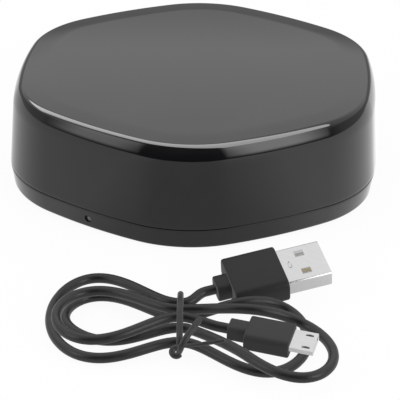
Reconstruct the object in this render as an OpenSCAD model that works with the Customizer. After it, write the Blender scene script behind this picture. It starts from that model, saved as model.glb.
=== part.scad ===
// Six-cornered radio hub for a smart home, with its wound power cable beside it.
// Millimetres, +Z up. The origin is the middle of the hub's footprint, on the surface it
// stands on. A corner points along +X, the port is at the back (+Y), the button at the front.

/* [Hub outline] */
// Number of corners and sides
side_n = 6; // [5:1:8]
// Radius of the circle that the corner arcs are centred on
corner_circle_r = 23; // [18:0.5:28]
// Radius of each corner arc at the seam
corner_r = 32; // [26:0.5:38]
// Half of the angle that a bulged side turns through
side_half_deg = 6.53; // [3:0.01:12]

/* [Cover] */
// Height of the hub above the surface it stands on
hub_h = 30.2; // [24:0.1:40]
// Height of the seam between the tray and the cover
seam_z = 6.5; // [6.5:0.1:9]
// Wall of the cover
wall_t = 2.0; // [1.6:0.1:3]
// Roof of the cover
roof_t = 2.0; // [1.6:0.1:4]
// How far the wall leans in for each unit of height
wall_lean_share = 0.064; // [0:0.001:0.12]
// How far the rounded top edge comes in
edge_in = 2.5; // [1:0.1:5]
// How far down the wall the rounded top edge starts
edge_drop = 4.5; // [1:0.1:8]

/* [Tray] */
// Gap between the surface and the underside of the tray
stand_h = 0.6; // [0.3:0.1:2]
// Floor of the tray
floor_t = 1.6; // [1.2:0.1:3]
// Wall of the tray at the seam
tray_wall_t = 2.6; // [2.2:0.1:3.5]
// How far the tray stands in at its foot
foot_in = 0.75; // [0:0.05:2]
// Rounding of the tray's lower edge
foot_round = 0.95; // [0.3:0.05:1.5]
// Height of the shadow groove under the seam
groove_h = 0.3; // [0.2:0.05:1]
// Depth of the shadow groove
groove_deep = 0.8; // [0.4:0.1:1.2]
// Height of the lip that centres the cover
lip_h = 2.0; // [1:0.1:4]
// Thickness of the lip
lip_t = 1.2; // [0.8:0.1:2]
// Clearance between the lip and the cover
lip_gap = 0.25; // [0.1:0.05:0.5]

/* [Feet and case screws] */
// Distance of the feet and bosses from the centre
foot_at_r = 43; // [36:0.5:45]
// Radius of a foot
foot_r = 4.5; // [3:0.1:6]
// Thickness of a foot
foot_t = 1.2; // [0.8:0.1:2.4]
// Clearance round a foot in its recess
foot_gap = 0.2; // [0.1:0.05:0.5]
// Radius of a case screw's shank
case_shank_r = 1.15; // [0.8:0.05:1.6]
// Length of a case screw's shank
case_shank_l = 10; // [6:0.5:14]
// Radius of a case screw's head
case_head_r = 2.1; // [1.6:0.1:2.6]
// Height of a case screw's head
case_head_h = 1.3; // [0.8:0.1:1.3]
// Radius of a boss in the cover
boss_r = 3.2; // [2.6:0.1:4.5]

/* [Circuit board] */
// Radius of the board
board_r = 36; // [30:0.5:39]
// Thickness of the board
board_t = 1.6; // [1:0.1:2.4]
// Height of the posts under the board
post_h = 4.0; // [4:0.1:6]
// Radius of the posts
post_r = 2.6; // [2:0.1:3.5]
// Distance of the posts from the centre
post_at_r = 32; // [26:0.5:33]
// Radius of a board screw's shank
board_shank_r = 0.9; // [0.7:0.05:1.2]
// Radius of a board screw's head
board_head_r = 1.9; // [1.5:0.1:2.4]
// Height of a board screw's head
board_head_h = 1.2; // [0.8:0.1:2]

/* [Power port] */
// Width of the socket's opening
port_w = 6.95; // [6.9:0.05:7.2]
// Height of the socket's opening
port_h = 1.9; // [1.85:0.05:2.1]
// Sheet of the socket's shell
port_sheet = 0.3; // [0.2:0.05:0.4]
// Length of the socket
port_l = 5.6; // [5:0.1:7]
// Width of the notch for the plug's grip
notch_w = 10.4; // [9.6:0.1:13]
// Height of the notch
notch_h = 5.4; // [5:0.1:7]
// Rounding of the notch's upper corners
notch_round = 1.2; // [0.3:0.1:2]

/* [Button] */
// Height of the button above the surface
button_z = 3.5; // [3.5:0.05:3.8]
// Radius of the button's face
button_r = 0.98; // [0.8:0.01:1.1]
// Clearance round the button
button_gap = 0.07; // [0.03:0.01:0.1]
// How far the button's face lies in from the wall
button_in = 0.8; // [0.2:0.1:1.2]
// Travel of the button
button_travel = 0.3; // [0.15:0.05:0.4]

/* [Cord] */
// Diameter of the cord
cord_d = 2.6; // [2.2:0.1:3]
// Turn of the cable about the hub's centre
cable_deg = 33.7; // [0:0.1:60]

/* [Twist tie] */
// Diameter of the tie's covered wire
tie_d = 1.6; // [1.2:0.1:2]
// Clearance between the tie and the cord
tie_gap = 0.15; // [0.05:0.05:0.4]
// Diameter of the tie's thin tail
tail_d = 1.0; // [0.6:0.1:1.4]

/* [Large plug] */
// Width of the large plug's grip
a_grip_w = 15; // [13:0.1:17]
// Thickness of the large plug's grip
a_grip_t = 7; // [6:0.1:9]
// Length of the large plug's grip
a_grip_l = 14; // [12:0.1:30]
// Width of the large plug's metal shell
a_shell_w = 12; // [11.9:0.05:12.1]
// Thickness of the large plug's metal shell
a_shell_t = 4.5; // [4.4:0.05:4.6]
// Bare length of the large plug's metal shell
a_shell_l = 11.5; // [11:0.1:13]

/* [Small plug] */
// Width of the small plug's grip
m_grip_w = 9; // [8.5:0.1:10.4]
// Thickness of the small plug's grip
m_grip_t = 5; // [4.5:0.1:5.2]
// Length of the small plug's grip
m_grip_l = 11.2; // [10:0.1:20]
// Width of the small plug's metal shell
m_shell_w = 6.85; // [6.8:0.01:6.9]
// Thickness of the small plug's metal shell
m_shell_t = 1.8; // [1.75:0.01:1.85]
// Bare length of the small plug's metal shell
m_shell_l = 5.8; // [5.5:0.1:6.5]

/* [Hidden] */
// Overrun of every cut
cut = 1;
$fn = 48;
corner_steps = 8;
side_steps = 3;
edge_steps = 6;

// Outline
corner_half_deg = 180 / side_n - side_half_deg;
side_r = corner_r + corner_circle_r * sin(180 / side_n) / sin(side_half_deg);
apothem = corner_circle_r * cos(180 / side_n) + side_r
  - (side_r - corner_r) * cos(side_half_deg);

// Heights of the hub
floor_z = stand_h + floor_t;
tray_top = seam_z - groove_h;
edge_z = hub_h - edge_drop;
roof_z = hub_h - roof_t;
board_z = floor_z + post_h;
board_top = board_z + board_t;

// Tray
lip_root = 1.7;
port_gap_w = 15;
button_gap_w = 12;
label_size = [36, 20, 0.15];
label_bed = 0.2;

// Case screws
case_head_sink = 0.45;
case_seat = foot_t + case_head_h + case_head_sink;
case_head_gap = 0.2;
shank_gap = 0.15;
pilot_gap = 0.05;
pilot_over = 1.8;
tray_boss_wall = 1.9;
tray_boss_h = 2.4;
boss_n = 3;
recess_w_share = 0.3;
recess_l_share = 1.3;
recess_t = 0.5;

// Board screws
post_n = 4;
post_deg = 45;
board_hole_gap = 0.2;
board_shank_l = 4.2;
port_tongue_w = 13;
port_tongue_in = 1.0;
button_tongue_w = 9;
button_tongue_in = 4.0;

// Port
port_back_t = 0.6;
port_set_in = 0.58;
port_front = apothem - wall_t - port_set_in;
port_z = board_top + port_h / 2 + port_sheet;
port_bevel = 0.7;
port_tongue = [5.0, 4.3, 0.48];
port_tongue_rise = 0.12;
port_pin = [0.4, 3.6, 0.1];
port_pin_step = 0.65;
port_pin_n = 5;

// Button
button_hole_r = button_r + button_gap;
button_wall_in = foot_in * (tray_top - button_z) / (tray_top - stand_h - foot_round);
button_face = apothem - button_wall_in - button_in;
flange_play = 0.2;
flange_t = 0.68;
flange_over = 0.27;
flange_front = apothem - tray_wall_t - flange_play;
flange_back = flange_front - flange_t;
plunger_r = 0.78;
plunger_gap = 0.07;
plunger_l = 2.15;
switch_gap = 0.9;
switch_size = [6, 3.6, 3.9];
switch_front = flange_back - switch_gap;

// Parts on the board: [width, depth, height] and [x, y]
wifi_size = [16, 24, 0.8];
wifi_at = [14, 6];
wifi_can = [14, 15, 2.2];
zigbee_size = [16, 22, 0.8];
zigbee_at = [-14, 6];
zigbee_can = [14, 13, 2.2];
can_edge = 1.0;
can_sheet = 0.3;
antenna_t = 0.15;
antenna_track = 0.6;
antenna_step = 1.6;
antenna_run = 5;
antenna_n = 7;
led_r = 1.5;
led_h = 3.4;
led_flange = 0.3;
led_flange_h = 0.8;
led_at_r = 31;
led_n = 6;
receiver_size = [6, 4, 6];
receiver_at = [0, -28];
receiver_lens_r = 1.7;
status_size = [1.6, 0.8, 0.7];
status_at = [0, -33.6];
status_step = 4;
status_n = 3;
inductor_size = [6, 6, 3.4];
inductor_at = [16, -16];
inductor_r = 2.5;
inductor_cap = 0.5;
chip_size = [6.5, 3.5, 1.6];
chip_at = [5, -16];
chip_leg = [0.8, 1.6, 0.4];
chip_leg_step = 2.3;
chip_leg_n = 3;
cap_r = 2.5;
cap_h = 4.6;
cap_base = [5.2, 5.2, 0.8];
cap_spots = [[-16, -18], [-9, -21.5], [25, -9]];
crystal_size = [11, 4.5, 3.2];
crystal_rim = 0.3;
crystal_rim_h = 0.5;
crystal_at = [-8, -12];

// Route of the wound cord, seen from above with +X along the hank
waist_x = -3.2;
waist_y = -98.5;
base_z = cord_d / 2;
layer_step = 3.1;
waist_lift = 1.9;
start_deg = 90;
turn_deg = 630;
end_deg = 990;
ring_deg = 15;
waist_outer = 11.0;
waist_inner = 0.9;
waist_top = 1.8;
left_len = 33.2;
left_len_in = 5.4;
left_half = 24.0;
left_half_in = 11.4;
left_skew = 6.8;
left_skew_in = 4.0;
right_len = 31.4;
right_len_out = 5.4;
right_half = 21.0;
right_skew = 1.6;
right_skew_out = 12.6;
waist_blend = 0.3;
left_full = 1.7;
right_full = 1.8;
climb_from_deg = 634;
climb_to_deg = 656;
swap_from_deg = 555;
swap_to_deg = 628;
prop_h = 3.6;
prop_from = 2.0;
prop_to = 33.0;
prop_lean = 1.65;
end_steps = 5;
a_lead = [3.6, 2.6];
m_lead = [3.0, 2.6];

// Plugs: place of the cord's end, then yaw, pitch and roll
a_place = [5.6, -83.0, 4.8];
a_turn = [15, 8, 16];
a_neck = [3.5, 6.5, 5];
a_neck_round = 2;
a_grip_round = 2.2;
a_round = 0.6;
a_sheet = 0.3;
a_deep = 3.5;
a_window = [2.5, 2];
a_window_y = 3.1;
a_window_back = 5.85;
a_dimple = [0.8, 2.4];
a_dimple_x = 2.2;
a_dimple_deep = 0.12;
fit_gap = 0.05;
a_tongue_back = 0.9;
a_pin = [7.4, 1.0, 0.12];
a_pin_shares = [-7 / 24, -1 / 12, 1 / 12, 7 / 24];
a_pin_back = 1.2;
m_place = [8.8, -103.3, 5.4];
m_turn = [-16, -2.2, 10];
m_neck = [4.6, 5, 4.4];
m_neck_round = 1.5;
m_grip_round = 1.6;
m_sheet = 0.25;
m_deep = 2.5;
m_bevel = 0.65;
m_core_w = 5.4;
m_core_h = 0.5;
m_core_back = 0.7;
m_pin = [3.4, 0.4, 0.1];
m_pin_step = 0.65;
m_pin_n = 5;
m_latch = [1.8, 0.5, 0.5];
m_latch_y = 2.2;
m_latch_back = 1.1;
m_slot_gap = 0.12;

// Tie: routes as shares of its reach, from the knot in front of the hank
tie_reach = 10;
tie_sides = 8;
leg_shares = [[0.02, -0.05, -0.05], [0.06, -0.11, 0.11], [0.2, 0.03, 0.31], [0.49, 0.44, 0.53]];
tail_shares = [[0.06, -0.11, 0.09], [0.37, -0.21, 0.19], [0.72, -0.27, 0.29], [1.09, -0.29, 0.37]];
curl_mid_shares = [-0.07, -0.23, 0];
curl_r = 1.0;
curl_tilt_deg = 40;
curl_from_deg = 60;
curl_to_deg = 330;
curl_n = 9;

function unit(v) = v / norm(v);
function smooth(v) = let (s = min(max(v, 0), 1)) s * s * (3 - 2 * s);
function on_circle(r, a) = [r * cos(a), r * sin(a)];
function lean(z) = wall_lean_share * (z - seam_z);

// Outline of the hub, moved in by inset
function side_deg(k) = 360 * k / side_n;
function corner_mid(k) = on_circle(corner_circle_r, side_deg(k));
function corner_part(k, inset) = [for (i = [0:corner_steps])
  let (a = side_deg(k) + corner_half_deg * (2 * i / corner_steps - 1))
  corner_mid(k) + on_circle(corner_r - inset, a)];
function side_mid(k) = corner_mid(k)
  + on_circle(corner_r - side_r, side_deg(k) + corner_half_deg);
function side_part(k, inset) = [for (i = [1:side_steps - 1])
  let (a = side_deg(k) + 180 / side_n + side_half_deg * (2 * i / side_steps - 1))
  side_mid(k) + on_circle(side_r - inset, a)];
function outline(inset) = [for (k = [0:side_n - 1])
  each concat(corner_part(k, inset), side_part(k, inset))];

// Solid through outlines, each given as [height, inset], from the lowest up
module loft(levels) {
  n = len(outline(0));
  last = len(levels) - 1;
  points = [for (level = levels) for (p = outline(level[1])) [p[0], p[1], level[0]]];
  sides = [for (j = [0:last - 1]) for (i = [0:n - 1])
    [j * n + i, (j + 1) * n + i, (j + 1) * n + (i + 1) % n, j * n + (i + 1) % n]];
  bottom = [for (i = [0:n - 1]) i];
  top = [for (i = [0:n - 1]) last * n + n - 1 - i];
  polyhedron(points, concat(sides, [bottom, top]));
}

// Tube along a path; ref is any direction that the path never takes
module tube(path, r, sides, ref = [0, 0, 1], closed = false) {
  n = len(path);
  last = n - 1;
  function after(i) = closed ? path[(i + 1) % n] : path[min(i + 1, last)];
  function before(i) = closed ? path[(i + last) % n] : path[max(i - 1, 0)];
  points = [for (i = [0:last])
    let (d = unit(after(i) - before(i)), s = unit(cross(d, ref)), u = cross(s, d))
    for (k = [0:sides - 1]) path[i] + r * (cos(360 * k / sides) * s + sin(360 * k / sides) * u)];
  walls = [for (i = [0:closed ? last : last - 1]) for (k = [0:sides - 1])
    let (a = i * sides, b = (i + 1) % n * sides, next = (k + 1) % sides)
    each [[a + k, a + next, b + next], [a + k, b + next, b + k]]];
  ends = [[for (k = [0:sides - 1]) sides - 1 - k], [for (k = [0:sides - 1]) last * sides + k]];
  polyhedron(points, closed ? walls : concat(walls, ends));
}

module rounded(w, t, r) {
  square([w - 2 * r, t], center = true);
  square([w, t - 2 * r], center = true);
  for (sx = [-1, 1]) for (sy = [-1, 1])
    translate([sx * (w / 2 - r), sy * (t / 2 - r)]) circle(r);
}

module beveled(w, t, bevel) {
  polygon([[-w / 2, t / 2], [-w / 2, bevel - t / 2], [bevel - w / 2, -t / 2],
    [w / 2 - bevel, -t / 2], [w / 2, bevel - t / 2], [w / 2, t / 2]]);
}

// Bar along +X with the drawn section, its width along Y
module along_x(from, length) {
  translate([from, 0, 0]) rotate([90, 0, 90]) linear_extrude(length) children();
}

module along_y(from, length) {
  translate([0, from, 0]) rotate([-90, 0, 0]) linear_extrude(length) mirror([0, 1]) children();
}

module on_board(size, at) {
  translate([at[0] - size[0] / 2, at[1] - size[1] / 2, board_top]) cube(size);
}

module disc(r, from, to) {
  translate([0, 0, from]) cylinder(r = r, h = to - from);
}

module round_about(n, r, first_deg = 0) {
  for (k = [0:n - 1]) rotate(first_deg + 360 * k / n) translate([r, 0, 0]) children();
}

// Round-headed screw, head downward when down is true
module screw(head_r, head_h, shank_r, shank_l, down) {
  turn = down ? 180 : 0;
  rotate([turn, 0, 0]) difference() {
    union() {
      disc(head_r, 0, head_h);
      disc(shank_r, -shank_l, 0);
    }
    for (a = [0, 90]) rotate(a) translate([0, 0, head_h])
      cube([recess_l_share * head_r, recess_w_share * head_r, 2 * recess_t], center = true);
  }
}

module top_cover() {
  color("#0b0b0c") difference() {
    union() {
      difference() {
        loft(concat([[seam_z, 0]], [for (i = [0:edge_steps])
          [edge_z + edge_drop * sin(90 * i / edge_steps),
           lean(edge_z) + edge_in * (1 - cos(90 * i / edge_steps))]]));
        loft([[seam_z - cut, wall_t + lean(seam_z - cut)],
          [roof_z - roof_t, wall_t + lean(roof_z - roof_t)],
          [roof_z, wall_t + lean(roof_z) + edge_in / 2]]);
      }
      round_about(boss_n, foot_at_r) disc(boss_r, floor_z + tray_boss_h, roof_z + roof_t / 2);
    }
    round_about(boss_n, foot_at_r)
      disc(case_shank_r + pilot_gap, floor_z + tray_boss_h - cut,
        case_seat + case_shank_l + pilot_over);
    port_notch();
  }
}

module port_notch() {
  top = seam_z + notch_h;
  deep = wall_t + port_set_in + cut;
  translate([0, apothem - deep + cut, 0]) {
    translate([-notch_w / 2, 0, seam_z - cut]) cube([notch_w, deep, notch_h + cut - notch_round]);
    translate([notch_round - notch_w / 2, 0, seam_z - cut])
      cube([notch_w - 2 * notch_round, deep, notch_h + cut]);
    for (side = [-1, 1]) translate([side * (notch_w / 2 - notch_round), 0, top - notch_round])
      rotate([-90, 0, 0]) cylinder(r = notch_round, h = deep);
  }
}

module tray_lip() {
  outer = wall_t + lip_gap;
  inner = outer + lip_t;
  top = seam_z + lip_h;
  difference() {
    loft([[seam_z - lip_root, outer], [seam_z, outer], [top, outer + lean(top)]]);
    loft([[seam_z - lip_root - cut, inner], [top + cut, inner + lean(top)]]);
    translate([-port_gap_w / 2, 0, seam_z - lip_root - cut])
      cube([port_gap_w, apothem, lip_root + lip_h + 2 * cut]);
    translate([-button_gap_w / 2, -apothem, seam_z - lip_root - cut])
      cube([button_gap_w, apothem, lip_root + lip_h + 2 * cut]);
  }
}

module base_tray() {
  color("#0b0b0c") difference() {
    union() {
      difference() {
        union() {
          loft([[stand_h, foot_in + foot_round],
            [stand_h + foot_round / 4, foot_in + foot_round / 2.4],
            [stand_h + foot_round, foot_in], [tray_top, 0]]);
          loft([[stand_h + floor_t, groove_deep], [seam_z, groove_deep]]);
        }
        loft([[floor_z, tray_wall_t], [seam_z + cut, tray_wall_t]]);
      }
      tray_lip();
      round_about(boss_n, foot_at_r)
        disc(case_head_r + case_head_gap + tray_boss_wall, floor_z - floor_t / 2,
          floor_z + tray_boss_h);
      round_about(post_n, post_at_r, post_deg) disc(post_r, floor_z - floor_t / 2, board_z);
    }
    round_about(side_n, foot_at_r) disc(foot_r + foot_gap, 0, foot_t);
    round_about(boss_n, foot_at_r) disc(case_head_r + case_head_gap, 0, case_seat);
    round_about(boss_n, foot_at_r) disc(case_shank_r + shank_gap, 0, floor_z + tray_boss_h + cut);
    round_about(post_n, post_at_r, post_deg)
      disc(board_shank_r + pilot_gap, board_top - board_shank_l - pilot_gap, board_z + cut);
    translate([0, -apothem - cut, button_z]) rotate([-90, 0, 0])
      cylinder(r = button_hole_r, h = tray_wall_t + 2 * cut);
    translate([0, 0, stand_h - cut + (label_bed + cut) / 2])
      cube([label_size[0] + 2 * foot_gap, label_size[1] + 2 * foot_gap, label_bed + cut],
        center = true);
  }
}

module rubber_feet() {
  color("#1c1c1d") round_about(side_n, foot_at_r) {
    disc(foot_r, stand_h / 2, foot_t);
    cylinder(r1 = foot_r - stand_h / 2, r2 = foot_r, h = stand_h / 2);
  }
}

module case_screws() {
  color("#8d8f92") round_about(boss_n, foot_at_r) translate([0, 0, case_seat])
    screw(case_head_r, case_head_h, case_shank_r, case_shank_l, true);
}

module main_board() {
  color("#14532d") difference() {
    union() {
      disc(board_r, board_z, board_top);
      translate([-port_tongue_w / 2, 0, board_z])
        cube([port_tongue_w, port_front - port_tongue_in, board_t]);
      translate([-button_tongue_w / 2, button_tongue_in - apothem, board_z])
        cube([button_tongue_w, apothem - button_tongue_in, board_t]);
    }
    round_about(post_n, post_at_r, post_deg)
      disc(board_shank_r + board_hole_gap, board_z - cut, board_top + cut);
  }
}

module board_screws() {
  color("#8d8f92") round_about(post_n, post_at_r, post_deg) translate([0, 0, board_top])
    screw(board_head_r, board_head_h, board_shank_r, board_shank_l, false);
}

module usb_socket_shell() {
  color("#b9bbbe") translate([0, 0, port_z]) difference() {
    along_y(port_front - port_l, port_l)
      beveled(port_w + 2 * port_sheet, port_h + 2 * port_sheet, port_bevel + port_sheet / 2);
    along_y(port_front - port_l + port_back_t, port_l) beveled(port_w, port_h, port_bevel);
  }
}

module usb_socket_tongue() {
  color("#101010") translate([-port_tongue[0] / 2, port_front - port_l + port_back_t,
    port_z + port_tongue_rise]) cube(port_tongue);
}

module usb_socket_contacts() {
  color("#c9a24a") for (k = [0:port_pin_n - 1])
    translate([(k - (port_pin_n - 1) / 2) * port_pin_step - port_pin[0] / 2,
      port_front - port_l + port_back_t, port_z + port_tongue_rise - port_pin[2]]) cube(port_pin);
}

module reset_switch() {
  color("#2a2a2b") difference() {
    translate([-switch_size[0] / 2, -switch_front, board_z - switch_size[2]]) cube(switch_size);
    translate([0, -switch_front - cut, button_z]) rotate([-90, 0, 0])
      cylinder(r = plunger_r + plunger_gap, h = cut + plunger_l - switch_gap + button_travel
        + plunger_gap);
  }
}

module reset_button() {
  color("#6a6a6a") translate([0, 0, button_z]) rotate([-90, 0, 0]) {
    translate([0, 0, -button_face])
      cylinder(r = button_r, h = button_face - flange_front + flange_t / 2);
    translate([0, 0, -flange_front]) cylinder(r = button_r + flange_over, h = flange_t);
  }
}

module switch_plunger() {
  color("#1a1a1a") translate([0, -flange_back, button_z]) rotate([-90, 0, 0])
    cylinder(r = plunger_r, h = plunger_l);
}

module shield_can(size, at, base_h) {
  translate([at[0], at[1], board_top + base_h]) difference() {
    translate([-size[0] / 2, -size[1] / 2, 0]) cube(size);
    translate([can_sheet - size[0] / 2, can_sheet - size[1] / 2, -cut])
      cube([size[0] - 2 * can_sheet, size[1] - 2 * can_sheet, size[2] + cut - can_sheet]);
  }
}

// Middle of a shield can, which sits at the front end of its module
function can_at(at, size, can) = [at[0], at[1] - size[1] / 2 + can_edge + can[1] / 2];

module wifi_module() {
  color("#1d3a5f") on_board(wifi_size, wifi_at);
}

module wifi_shield_can() {
  color("#c4c6c8") shield_can(wifi_can, can_at(wifi_at, wifi_size, wifi_can), wifi_size[2]);
}

module zigbee_module() {
  color("#14532d") on_board(zigbee_size, zigbee_at);
}

module zigbee_shield_can() {
  color("#c4c6c8")
    shield_can(zigbee_can, can_at(zigbee_at, zigbee_size, zigbee_can), zigbee_size[2]);
}

module zigbee_antenna() {
  left = zigbee_at[0] - antenna_step * (antenna_n - 1) / 2;
  front = zigbee_at[1] + zigbee_size[1] / 2 - can_edge - antenna_run;
  color("#b98a3a") translate([left, front, board_top + zigbee_size[2]])
    for (k = [0:antenna_n - 1]) {
      translate([k * antenna_step - antenna_track / 2, 0, 0])
        cube([antenna_track, antenna_run, antenna_t]);
      if (k < antenna_n - 1)
        translate([k * antenna_step - antenna_track / 2, k % 2 == 0 ? antenna_run - antenna_track : 0, 0])
          cube([antenna_step + antenna_track, antenna_track, antenna_t]);
    }
}

module ir_leds() {
  color("#2b2b33") round_about(led_n, led_at_r) translate([0, 0, board_top]) {
    cylinder(r = led_r + led_flange, h = led_flange_h);
    cylinder(r = led_r, h = led_h);
    translate([0, 0, led_h]) sphere(led_r);
  }
}

module ir_receiver() {
  color("#232326") {
    on_board(receiver_size, receiver_at);
    translate([receiver_at[0], receiver_at[1] - receiver_size[1] / 2,
      board_top + receiver_size[2] / 2]) sphere(receiver_lens_r);
  }
}

module status_leds() {
  color("#d8d8d2") for (k = [0:status_n - 1])
    on_board(status_size, status_at + [(k - (status_n - 1) / 2) * status_step, 0]);
}

module power_inductor() {
  color("#4a4a4c") {
    on_board([inductor_size[0], inductor_size[1], inductor_size[2] - inductor_cap], inductor_at);
    translate([inductor_at[0], inductor_at[1], board_top + inductor_size[2] - 2 * inductor_cap])
      cylinder(r = inductor_r, h = 2 * inductor_cap);
  }
}

module regulator_chip() {
  color("#1b1b1c") {
    on_board(chip_size, chip_at);
    for (k = [0:chip_leg_n - 1])
      on_board([chip_leg[0], chip_size[1] + 2 * chip_leg[1], chip_leg[2]],
        chip_at + [(k - (chip_leg_n - 1) / 2) * chip_leg_step, 0]);
  }
}

module capacitors() {
  color("#a9abae") for (spot = cap_spots) {
    on_board(cap_base, spot);
    translate([spot[0], spot[1], board_top]) cylinder(r = cap_r, h = cap_base[2] + cap_h);
  }
}

module crystal() {
  half = (crystal_size[0] - crystal_size[1]) / 2;
  color("#b5b7b9") translate([crystal_at[0], crystal_at[1], board_top])
    for (level = [[crystal_rim, crystal_rim_h], [0, crystal_size[2]]])
      linear_extrude(level[1]) {
        square([2 * half, crystal_size[1] + 2 * level[0]], center = true);
        for (side = [-1, 1]) translate([side * half, 0]) circle(crystal_size[1] / 2 + level[0]);
      }
}

module blank_label() {
  color("#d9d9d6") translate([0, 0, stand_h + label_bed - label_size[2] / 2])
    cube(label_size, center = true);
}

// Route of the wound cord. One full turn of t goes once round both lobes of the hank.
function swap(t) = smooth((t - swap_from_deg) / (swap_to_deg - swap_from_deg));
function climb(t) = smooth((t - climb_from_deg) / (climb_to_deg - climb_from_deg));
function depth(t) = t <= turn_deg ? (t - start_deg) / (turn_deg - start_deg)
  : 1 - (t - turn_deg) / (turn_deg - start_deg);
function waist_half(t) = t <= turn_deg ? waist_outer - (waist_outer - waist_inner) * depth(t)
  : waist_inner + waist_top * sin((t - turn_deg) / 2);
function spread(t, full) = let (u = abs(cos(t)),
  s = (sqrt(u * u + waist_blend * waist_blend) - waist_blend)
    / (sqrt(1 + waist_blend * waist_blend) - waist_blend)) s * (full - (full - 1) * s);
function is_left(t) = cos(t) < 0;
function lobe_len(t) = is_left(t) ? left_len - left_len_in * depth(t)
  : right_len + right_len_out * swap(t);
function lobe_half(t) = is_left(t) ? left_half - left_half_in * depth(t) : right_half;
function lobe_skew(t) = is_left(t) ? left_skew - left_skew_in * swap(t)
  : -right_skew - right_skew_out * swap(t);
function prop(t) = is_left(t) || sin(t) < 0 ? 0
  : let (s = sin(180 * min(max((lobe_len(t) * cos(t) - prop_from) / (prop_to - prop_from), 0), 1)))
    s * s;
function way(t) = let (g = spread(t, is_left(t) ? left_full : right_full))
  [waist_x + lobe_len(t) * cos(t),
   waist_y + sin(t) * (waist_half(t) + lobe_half(t) * g) + lobe_skew(t) * g
     - prop_h * prop_lean * prop(t),
   base_z + layer_step * climb(t) + waist_lift * (1 - g) + prop_h * prop(t)];

// Smooth run between two points with given directions and leads
function run(p, dp, lp, q, dq, lq, n) = [for (i = [0:n]) let (s = i / n, r = 1 - s)
  r * r * r * p + 3 * s * r * r * (p + lp * dp) + 3 * s * s * r * (q - lq * dq) + s * s * s * q];
function plug_axis(turn) = [cos(turn[1]) * cos(turn[0]), cos(turn[1]) * sin(turn[0]), sin(turn[1])];
function cord_end(from, heading, place, turn, lead) = let (d = plug_axis(turn))
  concat(run(from, heading, lead[0], place - cord_d * d, d, lead[1], end_steps), [place]);
function reversed(list) = [for (i = [len(list) - 1:-1:0]) list[i]];
function wound(step) = [for (t = [start_deg:step:end_deg]) way(t)];
a_end = cord_end(way(start_deg), [1, 0, 0], a_place, a_turn, a_lead);
m_end = cord_end(way(end_deg), [1, 0, 0], m_place, m_turn, m_lead);
function tail_of(list) = [for (i = [1:len(list) - 1]) list[i]];
cord_path = concat(reversed(tail_of(a_end)), wound(ring_deg), tail_of(m_end));
cord_length = let (p = concat(reversed(tail_of(a_end)), wound(ring_deg / 5), tail_of(m_end)),
  n = len(p) - 1) [for (i = [0:n - 1]) norm(p[i + 1] - p[i])] * [for (i = [0:n - 1]) 1];

// Least gap between the cord's turns, on points 5 degrees apart
function least_gap() = let (p = wound(ring_deg / 3), n = len(p) - 1)
  min([for (i = [0:n - 13]) for (j = [i + 12:n]) norm(p[i] - p[j])]) - cord_d;

module on_cable() {
  rotate(cable_deg) children();
}

module at_plug(place, turn) {
  on_cable() translate(place) rotate([turn[2], -turn[1], turn[0]]) children();
}

module cord_hank() {
  echo(least_gap = least_gap(), cord_length = cord_length);
  color("#232324") on_cable() tube(cord_path, cord_d / 2, 6);
}

module usb_a_neck() {
  color("#1f1f20") at_plug(a_place, a_turn)
    along_x(0, a_neck[0]) rounded(a_neck[1], a_neck[2], a_neck_round);
}

module usb_a_grip() {
  color("#2c2c2d") at_plug(a_place, a_turn) difference() {
    along_x(a_neck[0], a_grip_l) rounded(a_grip_w, a_grip_t, a_grip_round);
    along_x(a_neck[0] + a_grip_l - a_deep, a_deep + cut)
      rounded(a_shell_w + 2 * fit_gap, a_shell_t + 2 * fit_gap, a_round);
  }
}

module usb_a_shell() {
  from = a_neck[0] + a_grip_l - a_deep;
  tip = a_neck[0] + a_grip_l + a_shell_l;
  color("#c6c7c8") at_plug(a_place, a_turn) difference() {
    along_x(from, tip - from) rounded(a_shell_w, a_shell_t, a_round);
    along_x(from - cut, tip - from + 2 * cut)
      rounded(a_shell_w - 2 * a_sheet, a_shell_t - 2 * a_sheet, a_round - a_sheet);
    for (side = [-1, 1]) translate([tip - a_window_back, side * a_window_y, 0])
      cube([a_window[0], a_window[1], a_shell_t + cut], center = true);
    translate([tip - a_shell_l + a_dimple_x, 0, a_shell_t / 2 - a_dimple_deep])
      linear_extrude(cut) {
        square([a_dimple[0], a_dimple[1] - a_dimple[0]], center = true);
        for (side = [-1, 1]) translate([0, side * (a_dimple[1] - a_dimple[0]) / 2])
          circle(a_dimple[0] / 2);
      }
  }
}

module usb_a_tongue() {
  from = a_neck[0] + a_grip_l - a_deep;
  length = a_deep + a_shell_l - a_tongue_back;
  inner_w = a_shell_w - 2 * a_sheet - 2 * fit_gap;
  low = a_sheet + fit_gap - a_shell_t / 2;
  color("#e4e4e0") at_plug(a_place, a_turn)
    translate([from, a_round - a_sheet - inner_w / 2, low])
      cube([length, inner_w - 2 * (a_round - a_sheet), -low - fit_gap]);
}

module usb_a_contacts() {
  tip = a_neck[0] + a_grip_l + a_shell_l;
  color("#c9a24a") at_plug(a_place, a_turn) for (share = a_pin_shares)
    translate([tip - a_tongue_back - a_pin_back - a_pin[0], share * a_shell_w - a_pin[1] / 2,
      -fit_gap]) cube(a_pin);
}

module micro_plug_neck() {
  color("#1f1f20") at_plug(m_place, m_turn)
    along_x(0, m_neck[0]) rounded(m_neck[1], m_neck[2], m_neck_round);
}

module micro_plug_grip() {
  color("#2c2c2d") at_plug(m_place, m_turn) difference() {
    along_x(m_neck[0], m_grip_l) rounded(m_grip_w, m_grip_t, m_grip_round);
    along_x(m_neck[0] + m_grip_l - m_deep, m_deep + cut)
      beveled(m_shell_w + 2 * fit_gap, m_shell_t + 2 * fit_gap, m_bevel);
  }
}

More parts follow.
